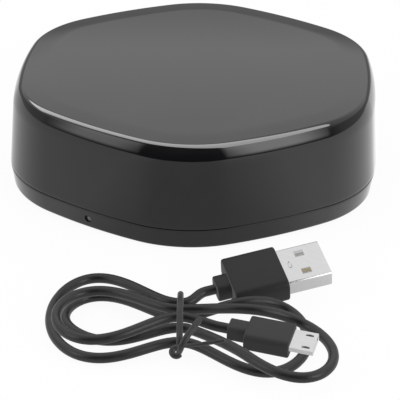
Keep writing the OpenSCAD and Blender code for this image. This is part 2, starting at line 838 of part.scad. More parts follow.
module micro_plug_shell() {
  from = m_neck[0] + m_grip_l - m_deep;
  tip = m_neck[0] + m_grip_l + m_shell_l;
  color("#c6c7c8") at_plug(m_place, m_turn) difference() {
    along_x(from, tip - from) beveled(m_shell_w, m_shell_t, m_bevel);
    along_x(from - cut, tip - from + 2 * cut)
      beveled(m_shell_w - 2 * m_sheet, m_shell_t - 2 * m_sheet, m_bevel - m_sheet / 2);
    for (side = [-1, 1])
      translate([tip - m_latch_back - m_latch[0] - m_slot_gap,
        side * m_latch_y - m_latch[1] / 2 - m_slot_gap, 0])
        cube([m_latch[0] + 2 * m_slot_gap, m_latch[1] + 2 * m_slot_gap, m_shell_t]);
  }
}

module micro_plug_core() {
  from = m_neck[0] + m_grip_l - m_deep;
  low = m_sheet + fit_gap - m_shell_t / 2;
  color("#101010") at_plug(m_place, m_turn)
    translate([from, -m_core_w / 2, low]) cube([m_deep + m_shell_l - m_core_back, m_core_w, m_core_h]);
}

module micro_plug_contacts() {
  tip = m_neck[0] + m_grip_l + m_shell_l;
  top = m_sheet + fit_gap - m_shell_t / 2 + m_core_h;
  color("#c9a24a") at_plug(m_place, m_turn) for (k = [0:m_pin_n - 1])
    translate([tip - m_core_back - m_pin[0],
      (k - (m_pin_n - 1) / 2) * m_pin_step - m_pin[1] / 2, top]) cube(m_pin);
}

module micro_plug_latches() {
  tip = m_neck[0] + m_grip_l + m_shell_l;
  top = m_shell_t / 2;
  color("#b4b5b6") at_plug(m_place, m_turn) for (side = [-1, 1])
    translate([tip - m_latch_back, side * m_latch_y + m_latch[1] / 2, top - m_latch[2]])
      rotate([90, 0, 0]) linear_extrude(m_latch[1])
        polygon([[0, 0], [0, m_latch[2] - m_sheet / 2], [-m_latch[0] / 2, m_latch[2] + m_sheet / 2],
          [-m_latch[0], m_latch[2] - m_sheet], [-m_latch[0], 0]]);
}

// Outer strands at the waist, in the tie's own plane, in the order of a left turn
function waist_point(t) = [way(t)[1], way(t)[2]];
tie_posts = [waist_point(270), waist_point(start_deg), waist_point(810), waist_point(end_deg)];
function edge_deg(i) = let (d = tie_posts[(i + 1) % 4] - tie_posts[i]) atan2(-d[0], d[1]);
function up_from(a, b) = b < a ? up_from(a, b + 360) : b;
tie_r = cord_d / 2 + tie_gap + tie_d / 2;
function tie_arc(i) = let (a = edge_deg((i + 3) % 4), b = up_from(a, edge_deg(i)),
  n = max(1, ceil((b - a) / 30)))
  [for (k = [0:n]) let (p = tie_posts[i] + on_circle(tie_r, a + (b - a) * k / n))
    [waist_x, p[0], p[1]]];
tie_band = [for (i = [0:3]) each tie_arc(i)];
tie_knot = [waist_x, tie_posts[0][0] - tie_r, tie_posts[0][1]];
function tie_route(shares) = [for (s = shares) tie_knot + tie_reach * s];
curl_mid = tie_route([curl_mid_shares])[0];
curl_y = [0, cos(curl_tilt_deg), sin(curl_tilt_deg)];
curl_z = [0, -sin(curl_tilt_deg), cos(curl_tilt_deg)];
tie_curl = [for (k = [0:curl_n]) let (p = on_circle(curl_r,
  curl_from_deg + (curl_to_deg - curl_from_deg) * k / curl_n)) curl_mid + [p[0], 0, 0] + p[1] * curl_y];

module twist_tie() {
  color("#2a2a2b") on_cable() {
    tube(tie_band, tie_d / 2, tie_sides, [1, 0, 0], true);
    tube(tie_route(leg_shares), tie_d / 2, tie_sides, [1, 0, 0]);
    tube(tie_route(tail_shares), tail_d / 2, tie_sides);
    tube(tie_curl, tie_d / 2, tie_sides, curl_z);
  }
}

top_cover();
base_tray();
rubber_feet();
case_screws();
main_board();
board_screws();
usb_socket_shell();
usb_socket_tongue();
usb_socket_contacts();
reset_switch();
reset_button();
switch_plunger();
wifi_module();
wifi_shield_can();
zigbee_module();
zigbee_shield_can();
zigbee_antenna();
ir_leds();
ir_receiver();
status_leds();
power_inductor();
regulator_chip();
capacitors();
crystal();
blank_label();
cord_hank();
usb_a_neck();
usb_a_grip();
usb_a_shell();
usb_a_tongue();
usb_a_contacts();
micro_plug_neck();
micro_plug_grip();
micro_plug_shell();
micro_plug_core();
micro_plug_contacts();
micro_plug_latches();
twist_tie();
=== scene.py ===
"""Looks of a six-cornered smart-home radio hub and the wound power cable that lies in front of it.

Everything is in metres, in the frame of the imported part: +Z up, the hub's footprint centred on the
origin, a corner along +X, the port at the back (+Y) and the button at the front (-Y). Sizes that the
classes hold are in millimetres, and angles in their fields are in degrees unless they say radians.
"""

import logging
import math
from dataclasses import dataclass
from enum import Enum
from typing import Callable, Optional, Sequence

import bmesh
import bpy
from mathutils import Matrix, Vector


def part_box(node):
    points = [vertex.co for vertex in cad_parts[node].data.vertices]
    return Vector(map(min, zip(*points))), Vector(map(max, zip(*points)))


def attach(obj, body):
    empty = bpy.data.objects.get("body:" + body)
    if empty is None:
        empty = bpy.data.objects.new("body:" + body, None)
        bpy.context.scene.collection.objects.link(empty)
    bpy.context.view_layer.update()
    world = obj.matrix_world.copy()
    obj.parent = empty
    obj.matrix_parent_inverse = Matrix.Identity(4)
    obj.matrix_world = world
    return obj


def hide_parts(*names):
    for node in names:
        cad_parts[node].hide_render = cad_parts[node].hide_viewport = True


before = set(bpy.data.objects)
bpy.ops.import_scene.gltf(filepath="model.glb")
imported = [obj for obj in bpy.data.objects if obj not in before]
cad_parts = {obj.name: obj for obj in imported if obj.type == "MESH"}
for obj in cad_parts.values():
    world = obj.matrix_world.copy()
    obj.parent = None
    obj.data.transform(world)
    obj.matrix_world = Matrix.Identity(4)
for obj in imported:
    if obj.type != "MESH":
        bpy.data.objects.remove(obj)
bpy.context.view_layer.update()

log = logging.getLogger("hub")
MM = 0.001
SHARP_DEG = 35.0
# Points nearer than these are merged, in metres: on the shells, on small pieces and on the finest.
SHELL_GAP = 1e-6
SMALL_GAP = 1e-7
FINE_GAP = 1e-8

# The camera looks along the cable, which lies turned by this much about +Z.
CABLE_TURN = math.radians(33.7)
TO_CAMERA = (math.sin(CABLE_TURN), -math.cos(CABLE_TURN), 0.0)
TO_RIGHT = (math.cos(CABLE_TURN), math.sin(CABLE_TURN), 0.0)


class Body(Enum):
    """The bodies that pieces ride on."""

    HUB = "hub"
    BUTTON = "button"


class Join(Enum):
    """What a closed shape does to a piece."""

    ADD = "UNION"
    TAKE = "DIFFERENCE"


# ---- helpers for places and meshes


def on_circle(radius: float, angle: float) -> Vector:
    """Give the point of a circle about the origin, at an angle in radians."""
    return Vector((radius * math.cos(angle), radius * math.sin(angle), 0.0))


def lifted(height: float) -> Vector:
    """Give an upright offset of some millimetres, in metres."""
    return Vector((0, 0, height * MM))


def smooth(value: float) -> float:
    """Ease from 0 to 1 with level ends."""
    s = min(max(value, 0.0), 1.0)
    return s * s * (3.0 - 2.0 * s)


def facing_origin(spot: Vector) -> Matrix:
    """Give the placing of a camera or lamp at a spot, looking at the origin."""
    return Matrix.Translation(spot) @ (-spot).to_track_quat("-Z", "Y").to_matrix().to_4x4()


def shade_smooth(data: bpy.types.Mesh, sharp_deg: float = SHARP_DEG) -> None:
    """Smooth a mesh but for the edges that turn by more than an angle."""
    data.polygons.foreach_set("use_smooth", [True] * len(data.polygons))
    data.set_sharp_from_angle(angle=math.radians(sharp_deg))


def new_piece(name: str, mesh: bmesh.types.BMesh, sharp_deg: float = SHARP_DEG) -> bpy.types.Object:
    """Turn a bmesh into an object at the origin, smooth but for its sharp edges.

    Args:
        name: name of the object.
        mesh: the finished bmesh, which is freed.
        sharp_deg: edges that turn more than this stay sharp.

    Returns:
        The new object.
    """
    data = bpy.data.meshes.new(name)
    mesh.to_mesh(data)
    mesh.free()
    shade_smooth(data, sharp_deg)
    piece = bpy.data.objects.new(name, data)
    bpy.context.scene.collection.objects.link(piece)
    return piece


def tidy_shell(mesh: bmesh.types.BMesh, gap: float = SHELL_GAP) -> None:
    """Merge points nearer than a gap, in metres, and turn every face outwards."""
    bmesh.ops.remove_doubles(mesh, verts=mesh.verts, dist=gap)
    bmesh.ops.recalc_face_normals(mesh, faces=mesh.faces)


def ring_edges(verts: Sequence[bmesh.types.BMVert]) -> list[bmesh.types.BMEdge]:
    """Give the edges between neighbours of a closed ring of vertices."""
    pairs = zip(verts, [*verts[1:], verts[0]])
    return [next(e for e in a.link_edges if e.other_vert(a) is b) for a, b in pairs]


def skin(mesh: bmesh.types.BMesh, rings: Sequence[Sequence[Vector]], closed: bool = False) -> None:
    """Extrude a ring of edges through rings of points, and close the ends or the loop.

    Args:
        mesh: the mesh that gets the skin.
        rings: rings with equal numbers of points.
        closed: the last ring joins the first, and there are no end faces.
    """
    verts = [mesh.verts.new(p) for p in rings[0]]
    edges = [mesh.edges.new((v, verts[(i + 1) % len(verts)])) for i, v in enumerate(verts)]
    if not closed:
        bmesh.ops.contextual_create(mesh, geom=edges)
    for ring in [*rings[1:], *([rings[0]] if closed else [])]:
        made = bmesh.ops.extrude_edge_only(mesh, edges=edges)["geom"]
        fresh = {v.co.to_tuple(): v for v in made if isinstance(v, bmesh.types.BMVert)}
        verts = [fresh[v.co.to_tuple()] for v in verts]
        edges = ring_edges(verts)
        for vert, point in zip(verts, ring):
            vert.co = point
    if closed:
        bmesh.ops.remove_doubles(mesh, verts=mesh.verts, dist=SMALL_GAP)
    else:
        bmesh.ops.contextual_create(mesh, geom=edges)


def combine(piece: bpy.types.Object, tool_mesh: bmesh.types.BMesh, how: Join) -> None:
    """Join a closed shape to a piece, or take it out.

    Args:
        piece: the object, whose mesh is changed.
        tool_mesh: the shape, freed afterwards.
        how: whether the shape is added or taken out.
    """
    tool = new_piece("tool", tool_mesh)
    step = piece.modifiers.new("combine", "BOOLEAN")
    step.operation = how.value
    step.solver = "EXACT"
    step.object = tool
    step.use_self = True
    graph = bpy.context.evaluated_depsgraph_get()
    result = bpy.data.meshes.new_from_object(piece.evaluated_get(graph))
    piece.modifiers.clear()
    piece.data = result
    bpy.data.objects.remove(tool)
    shade_smooth(result)


def add_disc(mesh: bmesh.types.BMesh, radius: float, low: Vector, high: Vector, sides: int = 48) -> None:
    """Add a round bar between two points.

    Args:
        mesh: the mesh that gets the bar.
        radius: its radius in millimetres.
        low: middle of one end, in metres.
        high: middle of the other end, in metres.
        sides: number of sides.
    """
    axis = high - low
    turn = axis.to_track_quat("Z", "Y").to_matrix().to_4x4()
    bmesh.ops.create_cone(mesh, cap_ends=True, segments=sides, radius1=radius * MM, radius2=radius * MM,
                          depth=axis.length, matrix=Matrix.Translation((low + high) / 2) @ turn)


def add_box(mesh: bmesh.types.BMesh, low: Vector, high: Vector, place: Matrix = Matrix()) -> None:
    """Add a box between two corners.

    Args:
        mesh: the mesh that gets the box.
        low: lowest corner, in metres.
        high: highest corner, in metres.
        place: where the box's own frame goes.
    """
    size = Matrix.Diagonal((*(high - low), 1.0))
    middle = Matrix.Translation((low + high) / 2)
    bmesh.ops.create_cube(mesh, size=1.0, matrix=place @ middle @ size)


def turned(mesh: bmesh.types.BMesh, profile: Sequence[tuple[float, float]], centre: Vector,
           sides: int = 64) -> None:
    """Spin a profile of (radius, height) about the upright line through a point.

    Args:
        mesh: the mesh that gets the turned shape.
        profile: points from the axis out and back to the axis, in metres.
        centre: point that heights are counted from.
        sides: steps of the spin.
    """
    verts = [mesh.verts.new(centre + Vector((r, 0, z))) for r, z in profile]
    edges = [mesh.edges.new(pair) for pair in zip(verts, verts[1:])]
    bmesh.ops.spin(mesh, geom=verts + edges, cent=centre, axis=(0, 0, 1), angle=math.tau,
                   steps=sides, use_merge=True, use_duplicate=False)


# Shares of a pipe's way between which it keeps its full radius, where its tips are drawn in.
FULL_RADIUS = (0.04, 0.96)


def pipe_rings(path: Sequence[Vector], radius: float, sides: int, ref: Vector, closed: bool = False,
               tip_share: float = 1.0) -> list[list[Vector]]:
    """Work out the rings of a round pipe along a path.

    Args:
        path: the centre line, in metres.
        radius: radius of the pipe, in metres.
        sides: points in a ring.
        ref: a direction that the path never takes.
        closed: the path runs back into its start.
        tip_share: share of the radius that an open end keeps.

    Returns:
        One ring of points for each point of the path.
    """
    last = len(path) - 1
    rings = []
    for i, point in enumerate(path):
        after = path[(i + 1) % len(path)] if closed else path[min(i + 1, last)]
        before = path[i - 1] if closed or i else path[0]
        ahead = (after - before).normalized()
        side = ahead.cross(ref).normalized()
        rise = side.cross(ahead)
        full = closed or FULL_RADIUS[0] < i / last < FULL_RADIUS[1]
        r = radius if full else radius * tip_share
        rings.append([point + r * (math.cos(math.tau * k / sides) * side
                                   + math.sin(math.tau * k / sides) * rise) for k in range(sides)])
    return rings


def round_rect(width: float, thick: float, radius: float, steps: int = 8) -> list[tuple[float, float]]:
    """Give the points of a rectangle with round corners about the origin.

    Args:
        width: full width.
        thick: full thickness.
        radius: radius of the corners.
        steps: steps of each corner.

    Returns:
        Points (across, up), turning left.
    """
    points = []
    for quarter, (sx, sy) in enumerate(((1, 1), (-1, 1), (-1, -1), (1, -1))):
        for k in range(steps + 1):
            a = (quarter + k / steps) * math.pi / 2
            points.append((sx * (width / 2 - radius) + radius * math.cos(a),
                           sy * (thick / 2 - radius) + radius * math.sin(a)))
    return points


# ---- node materials

# A noise pattern's values lie mostly between these.
PATTERN_BAND = (0.3, 0.7)
NOISE_DETAIL = 3.0
WHITE = "#ffffff"


def linear(code: str) -> tuple[float, float, float, float]:
    """Turn an sRGB hex colour into linear red, green, blue and alpha."""
    parts = [int(code[i:i + 2], 16) / 255 for i in (1, 3, 5)]
    return (*[p / 12.92 if p <= 0.04045 else ((p + 0.055) / 1.055) ** 2.4 for p in parts], 1.0)


def wire(tree: bpy.types.NodeTree, node: bpy.types.Node, values: dict) -> None:
    """Give a node's inputs their links and values.

    Args:
        tree: the node's tree.
        node: the node.
        values: input name or number to a value or another node's output.
    """
    for key, value in values.items():
        if isinstance(value, bpy.types.NodeSocket):
            tree.links.new(value, node.inputs[key])
        else:
            node.inputs[key].default_value = value


def add_node(tree: bpy.types.NodeTree, kind: str, values: Optional[dict] = None,
             **settings: object) -> bpy.types.Node:
    """Add a node with its settings and links.

    Args:
        tree: the tree that gets the node.
        kind: the node's type.
        values: input name or number to a value or another node's output.
        settings: attributes of the node.

    Returns:
        The node.
    """
    node = tree.nodes.new(kind)
    for key, value in settings.items():
        setattr(node, key, value)
    wire(tree, node, values or {})
    return node


def span(value: bpy.types.NodeSocket, *ends: float) -> dict:
    """Name the inputs of a range: its value, the two ends that it comes from and the two it goes to."""
    return {"Value": value, **dict(zip(("From Min", "From Max", "To Min", "To Max"), ends))}


def new_material(name: str) -> tuple[bpy.types.Material, bpy.types.Node, bpy.types.NodeSocket]:
    """Start a node material.

    Args:
        name: name of the material.

    Returns:
        The material, its shader and its object coordinates.
    """
    material = bpy.data.materials.new(name)
    material.use_nodes = True
    place = add_node(material.node_tree, "ShaderNodeTexCoord").outputs["Object"]
    return material, material.node_tree.nodes["Principled BSDF"], place


@dataclass(frozen=True)
class Finish:
    """A material: what it is made of, and how its surface was made."""

    name: str
    dark: str
    light: str
    rough_low: float
    rough_high: float
    grain_mm: float
    relief_mm: float = 0.0
    relief_grain_mm: float = 0.0
    metallic: float = 0.0
    ior: float = 1.5
    stretch: tuple = (1, 1, 1)
    turn: float = 0.0

    def build(self) -> bpy.types.Material:
        """Make the node material.

        Returns:
            The material.
        """
        material, shader, place = new_material(self.name)
        tree = material.node_tree
        laid = add_node(tree, "ShaderNodeMapping", {"Vector": place, "Rotation": (0, 0, -self.turn),
                                                    "Scale": self.stretch})
        grain = add_node(tree, "ShaderNodeTexNoise", {"Vector": laid.outputs["Vector"],
                                                      "Scale": 1 / (self.grain_mm * MM),
                                                      "Detail": NOISE_DETAIL})
        blend = add_node(tree, "ShaderNodeMapRange", span(grain.outputs["Fac"], *PATTERN_BAND, 0.0, 1.0))
        tint = add_node(tree, "ShaderNodeMix", {"Factor": blend.outputs["Result"], 6: linear(self.dark),
                                                7: linear(self.light)}, data_type="RGBA")
        rough = add_node(tree, "ShaderNodeMapRange",
                         span(grain.outputs["Fac"], *PATTERN_BAND, self.rough_low, self.rough_high))
        wire(tree, shader, {"Base Color": tint.outputs[2], "Roughness": rough.outputs["Result"],
                            "Metallic": self.metallic, "IOR": self.ior})
        if self.relief_mm:
            size = (self.relief_grain_mm or self.grain_mm) * MM
            relief = add_node(tree, "ShaderNodeTexNoise", {"Vector": laid.outputs["Vector"],
                                                           "Scale": 1 / size, "Detail": NOISE_DETAIL})
            bump = add_node(tree, "ShaderNodeBump", {"Height": relief.outputs["Fac"], "Strength": 1.0,
                                                     "Distance": self.relief_mm * MM})
            wire(tree, shader, {"Normal": bump.outputs["Normal"]})
        return material


@dataclass(frozen=True)
class BoardFinish:
    """Solder mask on glass-fibre laminate, with copper tracks that show through as lighter lines."""

    name: str
    mask: str
    track: str
    step_mm: float = 2.4
    track_share: float = 0.06
    brick_long: float = 1.7
    brick_high: float = 0.6
    row_shift: float = 0.37
    cloud_mm: float = 4.0
    rough: tuple = (0.22, 0.4)
    relief_mm: float = 0.03

    def build(self) -> bpy.types.Material:
        """Make the node material.

        Returns:
            The material.
        """
        material, shader, place = new_material(self.name)
        tree = material.node_tree
        brick = add_node(tree, "ShaderNodeTexBrick", {
            "Vector": place, "Scale": 1 / (self.step_mm * MM), "Mortar Size": self.track_share,
            "Color1": linear(self.mask), "Color2": linear(self.mask), "Mortar": linear(self.track),
            "Brick Width": self.brick_long, "Row Height": self.brick_high},
            offset=self.row_shift, offset_frequency=3)
        cloud = add_node(tree, "ShaderNodeTexNoise", {"Vector": place, "Scale": 1 / (self.cloud_mm * MM),
                                                      "Detail": NOISE_DETAIL})
        rough = add_node(tree, "ShaderNodeMapRange", span(cloud.outputs["Fac"], *PATTERN_BAND, *self.rough))
        bump = add_node(tree, "ShaderNodeBump", {"Height": brick.outputs["Fac"], "Strength": 1.0,
                                                 "Distance": self.relief_mm * MM})
        wire(tree, shader, {"Base Color": brick.outputs["Color"], "Roughness": rough.outputs["Result"],
                            "Normal": bump.outputs["Normal"]})
        return material


# Polished black ABS, moulded in a mirror-finished tool: deep black, sharp reflections, and a
# very faint long wave where the moulding cooled.
POLISHED_ABS = Finish("polished_black_abs", "#060607", "#0a0a0b", 0.035, 0.07, 18.0, 0.0012, 9.0)
# Nitrile feet, moulded matte: soft dark grey with a fine skin.
NITRILE = Finish("nitrile_rubber", "#161617", "#222223", 0.6, 0.8, 1.2, 0.02, 0.4)
# Zinc-plated steel screws: pale metal with a faint cloud of plating.
ZINC = Finish("zinc_plated_steel", "#8d8f92", "#b0b2b4", 0.25, 0.4, 0.8, metallic=1.0)
# Nickel-plated steel sheet of the plugs: bright satin with drawing marks along the plug.
NICKEL = Finish("nickel_plated_sheet", "#d2d2d3", "#d9d9da", 0.27, 0.36, 0.5, 0.0005, metallic=1.0,
                stretch=(0.12, 1, 1), turn=CABLE_TURN)
# Tin-plated cans, drawn and left bright: pale metal with a soft mottle.
TINPLATE = Finish("tinplate_can", "#b4b6b8", "#cccdcf", 0.2, 0.38, 1.6, 0.002, metallic=1.0)
# A thin gold flash over nickel on the contacts: pale and slightly warm.
GOLD_FLASH = Finish("gold_flashed_contact", "#8e8672", "#a79d85", 0.25, 0.35, 0.6, metallic=1.0)
# Spring steel of the latches, left dull and darkened as painted shade, so that they read as dark marks in
# their slots.
LATCH_STEEL_PAINTED_SHADE = Finish("latch_steel_painted_shade", "#4a4b4d", "#5c5d60", 0.35, 0.5, 0.4, metallic=1.0)
# Glass-filled nylon inserts: dull black with a fine fibre mottle.
NYLON = Finish("glass_filled_nylon", "#0e0e0f", "#1a1a1b", 0.45, 0.6, 0.3, 0.006)
# Acetal button, moulded smooth: mid grey.
ACETAL = Finish("grey_acetal", "#6b6b6c", "#7b7b7c", 0.3, 0.42, 0.5, 0.003)
# Tinted epoxy of the infrared diodes: almost black, glassy.
EPOXY = Finish("tinted_epoxy", "#17171f", "#232330", 0.05, 0.1, 2.0, ior=1.55)
# Silicone lens of the status diodes: milky.
SILICONE = Finish("milky_silicone", "#cfcfca", "#e2e2dc", 0.3, 0.45, 0.4)
# Sintered ferrite: dark grey and grainy.
FERRITE = Finish("sintered_ferrite", "#3c3c3e", "#535355", 0.6, 0.8, 0.25, 0.015)
# Polyester label film: off-white with a slight tooth.
LABEL_FILM = Finish("polyester_film", "#cfcfcc", "#ddddda", 0.35, 0.5, 3.0, 0.002, 0.4)
# Extruded PVC sheath: dark grey-black with a satin skin that takes long soft highlights.
PVC_SHEATH = Finish("extruded_pvc", "#131314", "#1c1c1d", 0.34, 0.44, 3.0, 0.006, 0.5, ior=1.52)
# PVC of the large plug's grip, moulded with a spark-eroded texture: dark satin grey.
MOULDED_PVC = Finish("textured_pvc", "#151516", "#1b1b1c", 0.44, 0.58, 0.35, 0.008, 0.18, ior=1.44)
# PVC of the small plug's grip, moulded duller than the large one: greyer where light falls on it.
MATTE_PVC = Finish("matte_pvc", "#222223", "#2a2a2b", 0.5, 0.64, 0.35, 0.01, 0.2)
# White nylon insert of the large plug, moulded smooth: clean off-white.
WHITE_NYLON = Finish("white_nylon", "#d9d9d5", "#e8e8e4", 0.35, 0.5, 0.4, 0.003)
# Thin polythene cover over the tie's wire, pressed on hot: satin, a little uneven.
POLYTHENE = Finish("pressed_polythene", "#202021", "#2f2f30", 0.36, 0.5, 0.9, 0.02, 0.7)
# Solder masks of the main board and of the larger module: deep colour with paler tracks.
GREEN_MASK = BoardFinish("green_solder_mask", "#0f4a27", "#1c6a3a")
BLUE_MASK = BoardFinish("blue_solder_mask", "#17304f", "#274a75", 1.8)


# ---- the camera, the cord and the studio


@dataclass
class Camera:
    """The camera, from the fit of the hub's outline. The roll is in radians."""

    distance: float = 0.5554
    elevation: float = 25.945
    roll: float = 0.01351
    sensor: float = 36.0
    lens: float = 170.74
    shift: tuple = (0.0122, -0.095)
    clip: tuple = (0.01, 20.0)

    def build(self) -> bpy.types.Object:
        """Make the camera and set it as the scene's own.

        Returns:
            The camera.
        """
        data = bpy.data.cameras.new("camera")
        data.sensor_width = self.sensor
        data.lens = self.lens
        data.shift_x, data.shift_y = self.shift
        data.clip_start, data.clip_end = self.clip
        item = bpy.data.objects.new("camera", data)
        elevation = math.radians(self.elevation)
        flat = self.distance * math.cos(elevation)
        spot = Vector((flat * TO_CAMERA[0], flat * TO_CAMERA[1], self.distance * math.sin(elevation)))
        item.matrix_world = facing_origin(spot) @ Matrix.Rotation(self.roll, 4, "Z")
        bpy.context.scene.collection.objects.link(item)
        bpy.context.scene.camera = item
        return item


@dataclass
class PlugPose:
    """Where a plug lies: the cord's end, then yaw, pitch and roll, in the cable's own frame."""

    place: tuple
    yaw: float
    pitch: float
    roll: float

    def axis(self) -> Vector:
        """Give the direction from the cord's end to the tip.

        Returns:
            A vector of length 1 in the cable's own frame.
        """
        yaw, pitch = math.radians(self.yaw), math.radians(self.pitch)
        return Vector((math.cos(pitch) * math.cos(yaw), math.cos(pitch) * math.sin(yaw),
                       math.sin(pitch)))

    def matrix(self) -> Matrix:
        """Give the placing of the plug's own frame, +X to its tip.

        Returns:
            The matrix, in metres.
        """
        turn = (Matrix.Rotation(math.radians(self.yaw), 4, "Z")
                @ Matrix.Rotation(math.radians(-self.pitch), 4, "Y")
                @ Matrix.Rotation(math.radians(self.roll), 4, "X"))
        return (Matrix.Rotation(CABLE_TURN, 4, "Z") @ Matrix.Translation(Vector(self.place) * MM)
                @ turn)


LARGE_PLUG = PlugPose((5.6, -83.0, 4.8), 15, 8, 16)
SMALL_PLUG = PlugPose((8.8, -103.3, 5.4), -16, -2.2, 10)


@dataclass
class WoundCord:
    """The cord: two and a half long loops, drawn in at the waist, and an end to each plug.

    The sizes are millimetres in the cable's own frame, +X along the hank. Places on the winding are
    degrees, 360 for each loop, from the outside in and out again. The left loops narrow as the
    winding goes in. The right loops shift aside over the swap, and their upper strands are propped
    up over the plug.
    """

    diameter: float = 2.6
    sides: int = 16
    sharp_deg: float = 60
    waist: tuple = (-3.2, -98.5)
    layer_step: float = 3.1
    waist_lift: float = 1.9
    start_deg: float = 90
    turn_deg: float = 630
    end_deg: float = 990
    waist_outer: float = 11.0
    waist_inner: float = 0.9
    waist_top: float = 1.8
    left_length: float = 33.2
    left_length_in: float = 5.4
    left_half: float = 24.0
    left_half_in: float = 11.4
    left_skew: float = 6.8
    left_skew_swap: float = 4.0
    left_full: float = 1.7
    right_length: float = 31.4
    right_length_swap: float = 5.4
    right_half: float = 21.0
    right_skew: float = 1.6
    right_skew_swap: float = 12.6
    right_full: float = 1.8
    blend: float = 0.3
    climb: tuple = (634, 656)
    swap: tuple = (555, 628)
    prop_high: float = 3.6
    prop_reach: tuple = (2.0, 33.0)
    prop_aside: float = 1.65
    large_leads: tuple = (3.6, 2.6)
    small_leads: tuple = (3.0, 2.6)

    def depth(self, t: float) -> float:
        """Give how far in the spiral is, from 0 outside to 1 inside."""
        share = (t - self.start_deg) / (self.turn_deg - self.start_deg)
        return share if share <= 1 else 2 - share

    def waist_half(self, t: float) -> float:
        """Give the strand's distance from the middle of the waist.

        Args:
            t: degrees along the winding.

        Returns:
            The distance in millimetres.
        """
        if t <= self.turn_deg:
            return self.waist_outer - (self.waist_outer - self.waist_inner) * self.depth(t)
        return self.waist_inner + self.waist_top * math.sin(math.radians((t - self.turn_deg) / 2))

    def spread(self, t: float, full: float) -> float:
        """Give how far a strand has opened out from the waist.

        Args:
            t: degrees along the winding.
            full: how fast the loop opens out, from 1.

        Returns:
            A share from 0 to 1.
        """
        e = self.blend
        u = abs(math.cos(math.radians(t)))
        s = (math.hypot(u, e) - e) / (math.hypot(1, e) - e)
        return s * (full - (full - 1) * s)

    def point(self, t: float) -> Vector:
        """Give the centre line.

        Args:
            t: degrees along the winding, 360 for each loop.

        Returns:
            The point in millimetres, in the cable's own frame.
        """
        c, s = math.cos(math.radians(t)), math.sin(math.radians(t))
        swap = smooth((t - self.swap[0]) / (self.swap[1] - self.swap[0]))
        climb = smooth((t - self.climb[0]) / (self.climb[1] - self.climb[0]))
        lift = 0.0
        if c < 0:
            length = self.left_length - self.left_length_in * self.depth(t)
            half = self.left_half - self.left_half_in * self.depth(t)
            skew = self.left_skew - self.left_skew_swap * swap
            g = self.spread(t, self.left_full)
        else:
            length = self.right_length + self.right_length_swap * swap
            half = self.right_half
            skew = -self.right_skew - self.right_skew_swap * swap
            g = self.spread(t, self.right_full)
            if s > 0:
                near, far = self.prop_reach
                along = (length * c - near) / (far - near)
                lift = self.prop_high * math.sin(math.pi * min(max(along, 0), 1)) ** 2
        return Vector((self.waist[0] + length * c,
                       self.waist[1] + s * (self.waist_half(t) + half * g) + skew * g
                       - self.prop_aside * lift,
                       self.diameter / 2 + self.layer_step * climb + self.waist_lift * (1 - g) + lift))

    def end(self, t: float, pose: PlugPose, leads: tuple, steps: int = 20) -> list[Vector]:
        """Give the run from the winding to a plug, without its first point.

        Args:
            t: where the winding ends.
            pose: where the plug lies.
            leads: how far each end runs on in its own direction.
            steps: steps of the run.

        Returns:
            Points in millimetres, the last in the plug.
        """
        p, q = self.point(t), Vector(pose.place) - self.diameter * pose.axis()
        a, b = p + Vector((leads[0], 0, 0)), q - leads[1] * pose.axis()
        run = []
        for i in range(1, steps + 1):
            s = i / steps
            r = 1 - s
            run.append(r ** 3 * p + 3 * s * r * r * a + 3 * s * s * r * b + s ** 3 * q)
        return run + [Vector(pose.place)]

    def path(self, step: float = 2.5) -> list[Vector]:
        """Give the whole centre line in metres, from the large plug to the small one.

        Args:
            step: degrees between points of the winding.

        Returns:
            The points in the part's own frame.
        """
        count = round((self.end_deg - self.start_deg) / step)
        winding = [self.point(self.start_deg + step * i) for i in range(count + 1)]
        points = (self.end(self.start_deg, LARGE_PLUG, self.large_leads)[::-1] + winding
                  + self.end(self.end_deg, SMALL_PLUG, self.small_leads))
        turn = Matrix.Rotation(CABLE_TURN, 3, "Z")
        return [turn @ (p * MM) for p in points]

    def build(self) -> tuple[bpy.types.Object, list[Vector]]:
        """Make the cord's mesh.

        Returns:
            The cord and its centre line.
        """
        path = self.path()
        mesh = bmesh.new()
        skin(mesh, pipe_rings(path, self.diameter / 2 * MM, self.sides, Vector((0, 0, 1))))
        bmesh.ops.recalc_face_normals(mesh, faces=mesh.faces)
        cord = new_piece("power_cord", mesh, self.sharp_deg)
        cord.data.materials.append(PVC_SHEATH.build())
        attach(cord, Body.HUB.value)
        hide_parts("cord_hank")
        return cord, path


